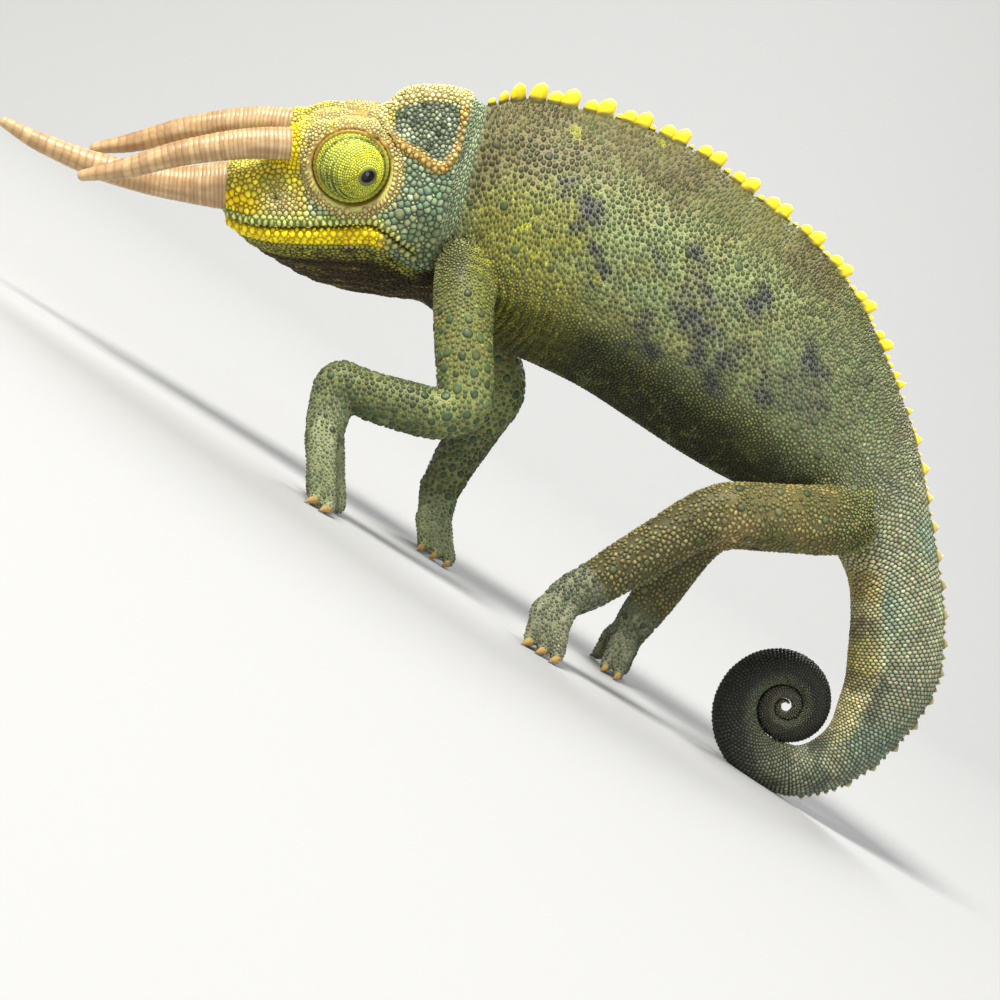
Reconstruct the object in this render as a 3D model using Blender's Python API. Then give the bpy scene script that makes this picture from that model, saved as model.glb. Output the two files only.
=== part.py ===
"""Three-horned chameleon, an adult male at life size, standing on a level floor.

The animal is drawn in its own side plane, in millimetres: u runs from the
horns to the tail, w runs up its back and y runs from its left side (negative)
to its right. A ladder of rungs, each from the back line to the belly line,
carries the head, the body and the coiled tail in one smooth run. The neck
turns the head a little towards its left side. Last, the side plane is tipped
until the feet and the tail coil share one floor, and the sizes become metres.
"""
import math
import random

import bmesh
import bpy
import numpy as np
from mathutils.bvhtree import BVHTree

# Driving dimensions, in millimetres and degrees
MM = 0.001                  # metres in a millimetre
GAP = 0.3                   # clearance between touching pieces
FLOOR_TIP = 33.45           # the side plane is tipped by this to stand level
FLOOR_LEVEL = -55.2         # height of the floor below the plane's zero, after tipping
MIDDLE_X = 24.04            # middle of the whole length, after tipping
MIDDLE_Y = 0.0              # middle of the whole width
HEAD_ROLL = 22.0            # the head's top leans this far towards the left side
ROLL_FROM, ROLL_TO = -1.0, 16.0   # stretch of the neck that takes up the roll
NECK_SLANT = 0.27           # slant of the neck's rungs, u per w

# Rungs of the head: back u, w, belly u, w, then half widths up the rung
LEVELS = (-1.0, -0.6, -0.12, 0.25, 0.65, 1.0)
HEAD_RUNGS = (
    (-38.7, 3.2, -38.3, -3.0, 1.4, 2.8, 3.8, 3.6, 3.2, 2.2),
    (-38.0, 5.2, -37.4, -5.2, 1.6, 3.6, 5.2, 5.0, 4.4, 2.8),
    (-35.7, 6.7, -35.4, -7.4, 1.8, 4.6, 6.6, 6.4, 5.4, 3.2),
    (-32.9, 7.5, -32.4, -9.6, 2.2, 5.4, 7.8, 7.4, 6.2, 3.8),
    (-30.0, 9.6, -29.0, -11.8, 2.4, 6.2, 8.6, 8.0, 6.6, 4.4),
    (-26.1, 13.4, -25.4, -14.0, 2.8, 7.0, 9.5, 8.7, 6.8, 4.8),
    (-22.6, 15.6, -21.3, -15.6, 3.0, 7.8, 10.2, 8.8, 6.6, 4.8),
    (-18.3, 16.0, -16.6, -16.8, 3.2, 8.4, 11.0, 8.8, 6.2, 4.6),
    (-13.9, 15.4, -12.2, -17.5, 3.4, 8.8, 11.6, 9.6, 6.6, 4.0),
    (-10.7, 16.6, -9.6, -17.9, 3.4, 9.0, 11.8, 10.8, 7.2, 3.6),
    (-7.2, 19.4, -8.4, -18.2, 3.4, 9.0, 11.8, 11.2, 7.4, 3.3),
    (-3.4, 20.0, -7.5, -18.2, 3.4, 8.8, 11.4, 11.0, 7.2, 3.0),
    (1.0, 19.8, -6.7, -18.3, 3.2, 8.6, 10.8, 10.3, 6.4, 2.6),
    (4.1, 19.2, -6.0, -18.6, 3.0, 8.4, 10.2, 9.4, 5.4, 2.2),
)
# Rungs of the body and the straight of the tail: back u, w, belly u, w, half width
BODY_RUNGS = (
    (6.0, 17.4, -5.0, -19.0, 8.8),
    (9.8, 17.6, -1.6, -21.2, 9.4),
    (14.0, 17.8, 3.6, -24.0, 10.6),
    (24.5, 15.6, 14.0, -28.2, 12.2),
    (34.6, 12.5, 22.8, -32.5, 13.0),
    (44.0, 7.9, 31.5, -38.1, 13.2),
    (53.6, 0.5, 40.2, -43.8, 12.8),
    (62.7, -6.6, 48.1, -48.3, 11.8),
    (70.9, -16.6, 55.1, -51.6, 10.6),
    (77.0, -29.4, 61.2, -54.8, 9.4),
    (81.4, -41.6, 66.5, -60.0, 8.4),
    (84.3, -55.6, 69.6, -65.8, 7.4),
    (86.4, -68.8, 70.2, -72.2, 6.6),
    (86.7, -79.0, 69.7, -79.4, 6.0),
    (85.2, -86.0, 69.3, -83.6, 5.5),
    (81.2, -92.6, 68.0, -88.0, 5.0),
    (76.0, -98.2, 66.7, -91.7, 4.5),
    (70.2, -102.2, 64.0, -94.3, 4.1),
    (64.6, -104.2, 61.2, -95.4, 3.8),
)
BODY_PROFILE = (0.30, 0.86, 1.0, 0.93, 0.62, 0.17)
TAIL_PROFILE = (0.34, 0.88, 1.0, 0.94, 0.68, 0.22)
TAIL_FROM, TAIL_EASE = 9, 3             # body rung where the tail's profile starts, and its run
EDGE_LEVEL, THINNEST = 0.999, 0.12      # how near a ring comes to its rung's ends, least half width

# The tail's coil, a spiral whose turns shrink by one ratio
COIL_CENTRE = (58.9, -88.5)
COIL_RADIUS = 16.0
COIL_RATIO = 0.40
COIL_TURNS = 2.1
COIL_WIDTH = 0.23           # half width of the tail as a share of the coil's radius
COIL_CLEAR = 0.36           # space between two turns of the coil
COIL_TIP, COIL_TAPER = 0.35, 1.6   # share of the width at the tip, and how fast it fills out
RUNGS_PER_TURN = 12

# Crest of the back: pairs of a small scale and a large one behind it, then the tail's keel
CREST_PITCH, CREST_CROWDING = 7.35, 1.8   # spacing of the pairs, and how much closer they start
PAIR_STEP = 2.6
CREST_LARGE, CREST_SMALL = (2.5, 3.2, 2.3), (1.8, 2.7, 1.9)   # height, length and width
NAPE_SCALES = ((0.9, 0.55), (1.6, 0.85))  # place on the body's rungs and size
KEEL_PITCH, KEEL_SCALE = 5.2, (1.15, 2.8, 1.5)
CREST_FROM, KEEL_FROM, KEEL_TO = 2.15, 9.6, 17.5    # places on the body's rungs
CREST_FADE, KEEL_FADE = 0.4, 0.03       # loss of size along the back, and from one scale to the next
ROOT_DEPTH = 1.3                        # how deep a crest scale's root is sunk
TOOTH_SECTIONS = ((0.5, 0.95), (1.0, 0.42))   # share of the height, share of the width there
TOOTH_LEAN = 0.22                       # backward lean per height
NODE_MARGIN = 0.14                      # places kept clear of crest scales at a node's ends

# Head pieces, in the head's own frame: u, w and y
EYE_CENTRE = (-16.4, 9.0, 7.2)
EYE_RADIUS = 6.3
PUPIL_RADIUS, EYEBALL_RADIUS = 1.1, 1.9
LID_OFFSET, LID_THICK, LID_SIDES = 0.35, 0.5, 10
LEFT_GAZE, RIGHT_GAZE = (30.0, -5.0), (-18.0, 4.0)   # degrees back and up
NOSTRIL = (-29.6, 3.0, 0.75)                          # u, w and radius
MOUTH_LINE = ((-37.8, -1.9), (-32.4, -2.1), (-25.7, -1.8), (-18.7, -1.2),
              (-13.5, -0.9), (-10.8, -1.8), (-8.4, -3.8), (-6.1, -6.0))
JAW_BACK = ((-6.6, -10.0), (-8.4, -15.0), (-10.4, -24.0))
BROW_LINE = ((-24.4, 9.0), (-23.6, 12.6), (-20.6, 15.4), (-16.4, 16.4),
             (-12.2, 15.6), (-9.4, 12.8), (-8.7, 9.2))
CHEEK_RIM_LINE = ((-8.7, 9.2), (-9.8, 5.0), (-12.6, 2.4), (-16.4, 1.6),
                  (-20.2, 2.6), (-23.0, 5.2), (-24.4, 9.0))
LATERAL_CREST = ((-12.8, 14.9), (-10.2, 16.2), (-7.6, 18.0), (-4.2, 18.9),
                 (-0.4, 18.8), (2.6, 17.8))
TEMPORAL_CREST = ((-9.4, 13.2), (-7.4, 12.3), (-4.8, 10.8), (-1.6, 8.8), (1.0, 10.4),
                  (2.6, 13.6), (3.0, 17.2))
CREST_RADIUS = 1.0
LIP_HEIGHT, LIP_RADIUS = 1.35, 1.0       # middle of each lip from the mouth line, its radius
RIM_RADIUS = 1.15

# Horns: u, w, y and radius from root to tip, in the head's own frame
ROSTRAL_HORN = ((-34.0, 2.6, 0.0, 4.2), (-39.0, 2.7, 0.0, 4.1), (-46.4, 3.0, 0.0, 3.05),
                (-53.5, 4.2, 0.0, 2.55), (-60.9, 6.4, 0.0, 2.25), (-67.5, 9.2, 0.0, 1.8),
                (-72.2, 11.6, 0.0, 1.35), (-76.8, 14.6, 0.0, 0.45))
BROW_HORN = ((-24.8, 11.6, 4.9, 2.6), (-27.4, 12.0, 5.3, 2.8), (-34.8, 12.2, 6.2, 2.55),
             (-45.2, 10.8, 6.8, 2.15), (-55.0, 8.2, 7.2, 1.6), (-63.0, 6.9, 7.4, 0.45))
HORN_RINGS = {"horn_rostral": 14, "horn_left": 12, "horn_right": 12}
RING_SWELL = 0.04                        # swell of a horn's ring as a share of its radius
SOCKET_GROW = 0.45                       # room between a horn and the wall of its socket

# Legs: u, w, y and radius down each limb; the right ones are finished from the species
LEGS = {
    "front_left": dict(
        upper=((2.8, -9.0, -3.0, 5.0), (2.6, -16.0, -9.5, 5.3), (2.6, -25.0, -13.6, 5.1),
               (3.0, -31.6, -15.2, 4.9)),
        lower=((2.6, -35.0, -15.8, 4.7), (-1.6, -36.4, -16.4, 4.5), (-7.0, -35.2, -17.0, 4.5),
               (-12.4, -33.6, -17.6, 4.3), (-16.0, -32.0, -18.0, 4.0)),
        palm=((-18.4, -31.6, -18.2, 4.0), (-20.0, -36.6, -18.6, 3.7), (-20.8, -41.0, -18.8, 3.2)),
        foot=(-21.6, -18.8), toes=(2, 3)),
    "front_right": dict(
        upper=((2.8, -9.0, 6.0, 5.0), (4.4, -16.0, 11.5, 5.3), (6.8, -25.0, 14.8, 5.1),
               (8.6, -31.6, 16.4, 4.9)),
        lower=((8.2, -35.0, 16.8, 4.7), (5.4, -39.0, 17.4, 4.5), (2.4, -43.4, 17.8, 4.4),
               (-0.2, -47.6, 18.0, 4.1), (-1.4, -50.0, 18.2, 3.9)),
        palm=((-2.2, -51.2, 18.4, 3.8), (-2.8, -54.6, 18.6, 3.5), (-3.2, -57.6, 18.8, 3.1)),
        foot=(-3.6, 18.8), toes=(2, 3)),
    "hind_left": dict(
        upper=((71.0, -55.4, -5.0, 5.2), (66.5, -55.2, -8.0, 6.0), (57.5, -54.4, -12.6, 5.9),
               (49.6, -53.2, -15.4, 5.3)),
        lower=((45.6, -53.2, -16.4, 5.0), (41.2, -55.0, -17.0, 4.7), (35.0, -58.8, -17.6, 4.5),
               (29.0, -62.4, -18.0, 4.3), (25.4, -64.6, -18.2, 4.0)),
        palm=((24.0, -65.4, -18.4, 4.0), (20.0, -67.4, -18.8, 3.6), (17.4, -69.8, -19.0, 3.1)),
        foot=(15.2, -19.0), toes=(3, 2)),
    "hind_right": dict(
        upper=((71.0, -55.6, 5.0, 5.2), (66.5, -56.2, 8.0, 6.0), (58.0, -56.6, 12.6, 5.9),
               (50.6, -57.0, 15.4, 5.3)),
        lower=((46.8, -58.4, 16.4, 5.0), (43.6, -61.6, 17.0, 4.7), (40.4, -66.0, 17.6, 4.5),
               (37.4, -70.4, 18.0, 4.3), (35.4, -73.2, 18.2, 4.0)),
        palm=((34.4, -74.6, 18.4, 3.9), (32.6, -77.2, 18.8, 3.5), (31.0, -79.8, 19.0, 3.1)),
        foot=(28.4, 19.0), toes=(3, 2)),
}
# Nodes of the body that make room for the root of a leg
CARRIERS = {"front": ("neck", "torso"), "hind": ("torso", "hips", "tail_base")}
TOE_RADIUS, TOE_STEP, TOE_SPREAD = 1.75, 2.7, 4.6
TOE_SHARES = (1.1, 1.12, 1.0, 0.98, 0.66)     # radius of a toe along its path
TOE_TIP, HEEL_HEIGHT, TIP_HEIGHT = 1.6, 1.6, 0.85   # tip beyond the spread, heights over the floor
TOE_ROOT = 1.2                                # spread of the toes where they leave the palm
CLAW_LENGTH, CLAW_RADIUS = 2.6, 0.75
CLAW_SHARES, CLAW_DROOP, CLAW_SINK = (1.0, 0.7, 0.16), 0.5, 0.3
LIMB_FLAT, PALM_FLAT = 0.9, 0.95              # depth of a limb across the plane per its width

# Mesh sizes: points round a section and sections along a piece
HEAD_SIDES, BODY_SIDES, LIMB_SIDES, HORN_SIDES = 9, 7, 10, 8
RIDGE_SIDES, TOE_SIDES, CLAW_SIDES, TOOTH_SIDES = 5, 6, 4, 5
OFF_AXIS = (0.31, 0.95, 0.07)                 # a direction that no round piece points in
RANDOM_SEED = 7

COLOURS = {   # colour, roughness
    "skin": ((0.20, 0.24, 0.09), 0.7),
    "horn": ((0.58, 0.36, 0.18), 0.5),
    "lids": ((0.36, 0.44, 0.05), 0.6),
    "eyeball": ((0.02, 0.015, 0.01), 0.1),
}


def smooth(rows, places):
    """Catmull-Rom curve through the rows, read at the given row numbers."""
    rows = np.asarray(rows, float)
    places = np.atleast_1d(np.asarray(places, float))
    last = len(rows) - 1
    padded = np.vstack([2 * rows[0] - rows[1], rows, 2 * rows[-1] - rows[-2]])
    cell = np.clip(np.floor(places).astype(int), 0, last - 1)
    f = (places - cell)[:, None]
    a, b, c, d = (padded[cell + k] for k in range(4))
    return 0.5 * (2 * b + (c - a) * f + (2 * a - 5 * b + 4 * c - d) * f ** 2
                  + (3 * b - a - 3 * c + d) * f ** 3)


def coil_rungs():
    """Rungs of the spiral: its outer line, its inner line and its half width."""
    rungs = []
    for k in range(int(COIL_TURNS * RUNGS_PER_TURN) + 1):
        turn = k / RUNGS_PER_TURN
        angle = -math.pi / 2 - 2 * math.pi * turn
        outer = COIL_RADIUS * COIL_RATIO ** turn
        inner = outer * COIL_RATIO + COIL_CLEAR
        end = min(1.0, COIL_TIP + COIL_TAPER * (COIL_TURNS - turn))
        middle, half = (outer + inner) / 2, (outer - inner) / 2 * end
        du, dw = math.cos(angle), math.sin(angle)
        rungs.append((COIL_CENTRE[0] + (middle + half) * du, COIL_CENTRE[1] + (middle + half) * dw,
                      COIL_CENTRE[0] + (middle - half) * du, COIL_CENTRE[1] + (middle - half) * dw,
                      COIL_WIDTH * outer * end))
    return rungs


def body_ladder():
    """All rungs from the snout to the tail's tip, each with its own half widths."""
    rows = [list(rung) for rung in HEAD_RUNGS]
    for k, (du, dw, vu, vw, half) in enumerate(list(BODY_RUNGS) + coil_rungs()):
        tail = min(max((k - TAIL_FROM) / TAIL_EASE, 0), 1)
        profile = np.array(BODY_PROFILE) * (1 - tail) + np.array(TAIL_PROFILE) * tail
        rows.append([du, dw, vu, vw, *(half * profile)])
    return np.array(rows)


LADDER = body_ladder()
FIRST_BODY = len(HEAD_RUNGS)                    # ladder number of the nape
FIRST_COIL = FIRST_BODY + len(BODY_RUNGS)       # ladder number of the coil's start
LADDER_END = len(LADDER) - 1


def section(place, sides):
    """Closed ring of points round the body at a place on the ladder."""
    row = smooth(LADDER, place)[0]
    level = -np.cos(np.linspace(0, math.pi, sides)) * EDGE_LEVEL
    width = smooth(row[4:, None], np.interp(level, LEVELS, range(len(LEVELS))))[:, 0]
    width = np.maximum(width, THINNEST)
    share = ((level + 1) / 2)[:, None]
    flat = row[2:4] + (row[0:2] - row[2:4]) * share
    near = np.column_stack([flat, -width])
    far = np.column_stack([flat, width])[::-1]
    return np.vstack([near, far])


def add_object(name, points, faces):
    """Mesh object from points and faces, its faces turned outwards."""
    mesh = bpy.data.meshes.new(name)
    mesh.from_pydata([tuple(p) for p in points], [], faces)
    obj = bpy.data.objects.new(name, mesh)
    bpy.context.scene.collection.objects.link(obj)
    bm = bmesh.new()
    bm.from_mesh(mesh)
    bmesh.ops.recalc_face_normals(bm, faces=bm.faces)
    bm.to_mesh(mesh)
    bm.free()
    return obj


def loft(name, rings):
    """Closed body through rings of equal count, with a fan of triangles at each end."""
    count, sides = len(rings), len(rings[0])
    points = [p for ring in rings for p in ring]
    points += [np.mean(rings[0], axis=0), np.mean(rings[-1], axis=0)]
    first, last = count * sides, count * sides + 1
    faces = []
    for i in range(count - 1):
        for j in range(sides):
            k = (j + 1) % sides
            faces.append((i * sides + j, i * sides + k, (i + 1) * sides + k, (i + 1) * sides + j))
    end = (count - 1) * sides
    for j in range(sides):
        k = (j + 1) % sides
        faces.append((first, k, j))
        faces.append((last, end + j, end + k))
    return add_object(name, points, faces)


def body_length(name, start, stop, rings, sides, trim=(True, True)):
    """Length of the body between two places, drawn back by half the gap at its ends."""
    places = np.linspace(start, stop, rings)
    loops = [section(place, sides) for place in places]
    for index, inward in ((0, 1), (-1, -1)):
        if trim[index]:
            row = smooth(LADDER, places[index])[0]
            along = np.array([row[1] - row[3], row[2] - row[0], 0.0])
            along *= inward / np.linalg.norm(along)
            loops[index] = loops[index] + along * GAP / 2
    return loft(name, loops)


def tube(name, path, sides, flat=1.0, grow=0.0, ends=(0.0, 0.0), rings=None, ribs=0.0):
    """Tube along a path of u, w, y and radius. flat squeezes it across the plane,
    ends draw its two ends back, and ribs swells every other ring."""
    path = np.asarray(path, float)
    count = rings or 2 * len(path) - 1
    rows = smooth(path, np.linspace(0, len(path) - 1, count))
    centre, radius = rows[:, :3], rows[:, 3] + grow
    along = np.gradient(centre, axis=0)
    along /= np.linalg.norm(along, axis=1)[:, None]
    centre[0] += along[0] * ends[0]
    centre[-1] -= along[-1] * ends[1]
    across = np.cross(along, (0.0, 0.0, 1.0))
    across /= np.linalg.norm(across, axis=1)[:, None]
    depth = np.cross(across, along)
    if ribs:
        radius = radius * (1 + ribs * np.where(np.arange(count) % 2 == 1, 1.0, -0.4))
    turn = np.arange(sides) * 2 * math.pi / sides
    loops = [c + r * (np.outer(np.cos(turn), a) + flat * np.outer(np.sin(turn), d))
             for c, r, a, d in zip(centre, radius, across, depth)]
    return loft(name, loops)


def ball(name, centre, radius, axis=(0.0, 0.0, 1.0), sides=14, rings=8):
    """Sphere with its poles on an axis, so that its rings lie round that axis."""
    axis = np.asarray(axis, float) / np.linalg.norm(axis)
    side = np.cross(axis, OFF_AXIS)
    side /= np.linalg.norm(side)
    other = np.cross(axis, side)
    turn = np.arange(sides) * 2 * math.pi / sides
    loops = []
    for polar in np.linspace(0, math.pi, rings + 1)[1:-1]:
        ring = np.outer(np.cos(turn), side) + np.outer(np.sin(turn), other)
        loops.append(np.asarray(centre) + radius * (math.sin(polar) * ring
                                                    + math.cos(polar) * axis))
    obj = loft(name, loops)
    poles = obj.data.vertices[-2:]
    for vertex, sign in zip(poles, (1, -1)):
        vertex.co = tuple(np.asarray(centre) + sign * radius * axis)
    return obj


def prism(name, outline, depth=60.0):
    """Outline in the side plane, extruded right through the body."""
    count = len(outline)
    points = [(u, w, y) for y in (-depth, depth) for u, w in outline]
    faces = [tuple(range(count)), tuple(range(2 * count - 1, count - 1, -1))]
    faces += [(j, (j + 1) % count, count + (j + 1) % count, count + j) for j in range(count)]
    return add_object(name, points, faces)


def bake(obj):
    """Replace the object's mesh by its evaluated one and drop its modifiers."""
    graph = bpy.context.evaluated_depsgraph_get()
    mesh = bpy.data.meshes.new_from_object(obj.evaluated_get(graph))
    old = obj.data
    obj.modifiers.clear()
    obj.data = mesh
    bpy.data.meshes.remove(old)


def keep_largest(obj):
    """Drop every closed surface of the mesh but the one with the most faces."""
    bm = bmesh.new()
    bm.from_mesh(obj.data)
    left, largest = set(bm.faces), []
    while left:
        island, front = [], [left.pop()]
        while front:
            face = front.pop()
            island.append(face)
            near = {f for edge in face.edges for f in edge.link_faces} & left
            left -= near
            front += near
        if len(island) > len(largest):
            largest = island
    keep = set(largest)
    bmesh.ops.delete(bm, geom=[f for f in bm.faces if f not in keep], context="FACES")
    bmesh.ops.triangulate(bm, faces=bm.faces)
    bmesh.ops.dissolve_degenerate(bm, dist=0.004, edges=bm.edges)
    bm.to_mesh(obj.data)
    bm.free()


def combine(body, pieces, operation):
    """Boolean of the body with a list of pieces, which are removed afterwards."""
    group = bpy.data.collections.new("pieces")
    for piece in pieces:
        group.objects.link(piece)
    step = body.modifiers.new(operation.lower(), "BOOLEAN")
    step.operation = operation
    step.operand_type = "COLLECTION"
    step.collection = group
    step.solver = "EXACT"
    bake(body)
    for piece in pieces:
        bpy.data.objects.remove(piece)
    bpy.data.collections.remove(group)
    keep_largest(body)


def duplicate(obj, name):
    """Copy of an object with its own mesh."""
    copy = obj.copy()
    copy.data = obj.data.copy()
    copy.name = name
    bpy.context.scene.collection.objects.link(copy)
    return copy


def move_points(obj, rule):
    """Send all of a mesh's points through a rule on an array of u, w and y."""
    points = np.empty(len(obj.data.vertices) * 3)
    obj.data.vertices.foreach_get("co", points)
    moved = rule(points.reshape(-1, 3))
    obj.data.vertices.foreach_set("co", np.ascontiguousarray(moved).ravel())
    obj.data.update()


def roll_head(points):
    """Turn the head about its long axis, easing to nothing along the neck."""
    slanted = points[:, 0] - NECK_SLANT * points[:, 1]
    ease = np.clip((slanted - ROLL_FROM) / (ROLL_TO - ROLL_FROM), 0, 1)
    angle = math.radians(HEAD_ROLL) * (1 - ease * ease * (3 - 2 * ease))
    w, y = points[:, 1], points[:, 2]
    return np.column_stack([points[:, 0], w * np.cos(angle) + y * np.sin(angle),
                            y * np.cos(angle) - w * np.sin(angle)])


def stand_up(points):
    """Tip the side plane onto the floor, centre it and turn millimetres to metres."""
    tip = math.radians(FLOOR_TIP)
    u, w, y = points.T
    x = u * math.cos(tip) - w * math.sin(tip) - MIDDLE_X
    z = u * math.sin(tip) + w * math.cos(tip) - FLOOR_LEVEL
    return np.column_stack([x, y - MIDDLE_Y, z]) * MM


def floor_w(u):
    """Height w of the floor line under a place u of the side plane."""
    tip = math.radians(FLOOR_TIP)
    return (FLOOR_LEVEL - u * math.sin(tip)) / math.cos(tip)


def tooth(name, place, height, length, width):
    """Crest scale: a blunt cone of few sides that leans back, its root sunk in the back."""
    row, ahead = smooth(LADDER, place)[0], smooth(LADDER, place + 0.02)[0]
    back = np.array([row[0], row[1], 0.0])
    along = np.array([ahead[0] - row[0], ahead[1] - row[1], 0.0])
    along /= np.linalg.norm(along)
    up = np.array([-along[1], along[0], 0.0])
    side = np.array([0.0, 0.0, 1.0])
    turn = np.arange(TOOTH_SIDES) * 2 * math.pi / TOOTH_SIDES
    loops = []
    root = (-ROOT_DEPTH, TOOTH_SECTIONS[0][1])
    for lift, share in [root] + [(height * part, share) for part, share in TOOTH_SECTIONS]:
        middle = back + up * lift + along * TOOTH_LEAN * max(lift, 0)
        loops.append(middle + share * (np.outer(np.cos(turn), along) * length / 2
                                       + np.outer(np.sin(turn), side) * width / 2))
    return loft(name, loops)


def back_line(start, stop):
    """Places from start to stop with their distance along the back line."""
    dense = np.linspace(start, stop, 400)
    line = smooth(LADDER, dense)[:, :2]
    run = np.concatenate([[0], np.cumsum(np.linalg.norm(np.diff(line, axis=0), axis=1))])
    return dense, run


def crest_teeth():
    """Crest scales of the back and tail, each as its place, height, length and width."""
    draw = random.Random(RANDOM_SEED)
    teeth = [(FIRST_BODY + place, *(size * x for x in CREST_LARGE)) for place, size in NAPE_SCALES]
    dense, run = back_line(FIRST_BODY + CREST_FROM, FIRST_BODY + KEEL_FROM)
    reach, count = 0.0, 0
    while reach < run[-1]:
        fade = 1.0 - CREST_FADE * (reach / run[-1]) ** 2
        large = np.array(CREST_LARGE) * fade * draw.uniform(0.92, 1.08)
        small = np.array(CREST_SMALL) * fade * draw.uniform(0.88, 1.1)
        teeth.append((np.interp(reach, run, dense), *large))
        reach += CREST_PITCH - CREST_CROWDING * 0.55 ** count
        teeth.append((np.interp(reach - PAIR_STEP * fade, run, dense), *small))
        count += 1
    dense, run = back_line(FIRST_BODY + KEEL_FROM, FIRST_BODY + KEEL_TO)
    for k, reach in enumerate(np.arange(KEEL_PITCH, run[-1], KEEL_PITCH)):
        size = draw.uniform(0.85, 1.15) * (1 - KEEL_FADE * k)
        teeth.append((np.interp(reach, run, dense), *(size * x for x in KEEL_SCALE)))
    return teeth


def surface_point(tree, u, w, side):
    """Point of the head's surface straight out from a place of the side plane."""
    hit = tree.ray_cast((u, w, side * 60.0), (0.0, 0.0, -side))
    return hit[0] if hit[0] else None


def ridge(name, tree, line, radius, side, rings, sink=0.35, bulge=0.0):
    """Rounded ridge that follows a line on the side of the head."""
    rows = smooth(line, np.linspace(0, len(line) - 1, rings))
    path = []
    for k, (u, w) in enumerate(rows):
        point = surface_point(tree, u, w, side)
        if point is None:
            continue
        swell = radius * (1 + bulge * math.sin(math.pi * k / (rings - 1)))
        path.append((u, w, point[2] - side * sink * radius, swell))
    return tube(name, path, RIDGE_SIDES, rings=len(path))


def gaze(angles, side):
    """Unit direction of an eye from its angles back and up."""
    back, up = (math.radians(a) for a in angles)
    return np.array([math.sin(back) * math.cos(up), math.sin(up),
                     side * math.cos(back) * math.cos(up)])


def make_horns():
    """The three ringed horns and, for each, the slightly larger shape of its socket."""
    horns, sockets = [], []
    for name, side in (("horn_rostral", 1), ("horn_left", -1), ("horn_right", 1)):
        table = ROSTRAL_HORN if name == "horn_rostral" else BROW_HORN
        path = [(u, w, y * side, r) for u, w, y, r in table]
        rings = 2 * HORN_RINGS[name] + 1
        horns.append(tube(name, path, HORN_SIDES, rings=rings, ribs=RING_SWELL))
        sockets.append(tube(name + "_socket", path[:3], HORN_SIDES, grow=SOCKET_GROW,
                            ends=(-GAP, 0.0), rings=5))
    return horns, sockets


def make_eyes():
    """Turrets with their eyeballs, and the sockets that they leave in the head."""
    turrets, sockets = [], []
    for name, side, angles in (("left", -1, LEFT_GAZE), ("right", 1, RIGHT_GAZE)):
        centre = np.array([EYE_CENTRE[0], EYE_CENTRE[1], side * EYE_CENTRE[2]])
        look = gaze(angles, side)
        cavity = EYEBALL_RADIUS + GAP
        reach = math.sqrt(EYE_RADIUS ** 2 - PUPIL_RADIUS ** 2) \
            - math.sqrt(cavity ** 2 - PUPIL_RADIUS ** 2)
        turret = ball("eye_" + name, centre, EYE_RADIUS, look)
        rim = centre + look * math.sqrt(EYE_RADIUS ** 2 - PUPIL_RADIUS ** 2)
        lid = lid_ring("lid", rim, look, PUPIL_RADIUS + LID_OFFSET)
        combine(turret, [lid], "UNION")
        hollow = ball("hollow", centre + look * reach, cavity, look, 10, 7)
        combine(turret, [hollow], "DIFFERENCE")
        turrets.append(turret)
        turrets.append(ball("eyeball_" + name, centre + look * reach, EYEBALL_RADIUS, look, 10, 7))
        sockets.append(ball("socket", centre, EYE_RADIUS + GAP, look))
    return turrets, sockets


def lid_ring(name, centre, axis, radius):
    """Swollen ring of skin round the pupil."""
    side = np.cross(axis, OFF_AXIS)
    side /= np.linalg.norm(side)
    other = np.cross(axis, side)
    points, faces = [], []
    for round_turn in np.arange(LID_SIDES) * 2 * math.pi / LID_SIDES:
        out = side * math.cos(round_turn) + other * math.sin(round_turn)
        for turn in np.arange(RIDGE_SIDES) * 2 * math.pi / RIDGE_SIDES:
            points.append(centre + out * (radius + LID_THICK * math.cos(turn))
                          + axis * LID_THICK * math.sin(turn))
    for j in range(LID_SIDES):
        a, b = j * RIDGE_SIDES, (j + 1) % LID_SIDES * RIDGE_SIDES
        for k in range(RIDGE_SIDES):
            n = (k + 1) % RIDGE_SIDES
            faces.append((a + k, a + n, b + n, b + k))
    return add_object(name, points, faces)


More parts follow.
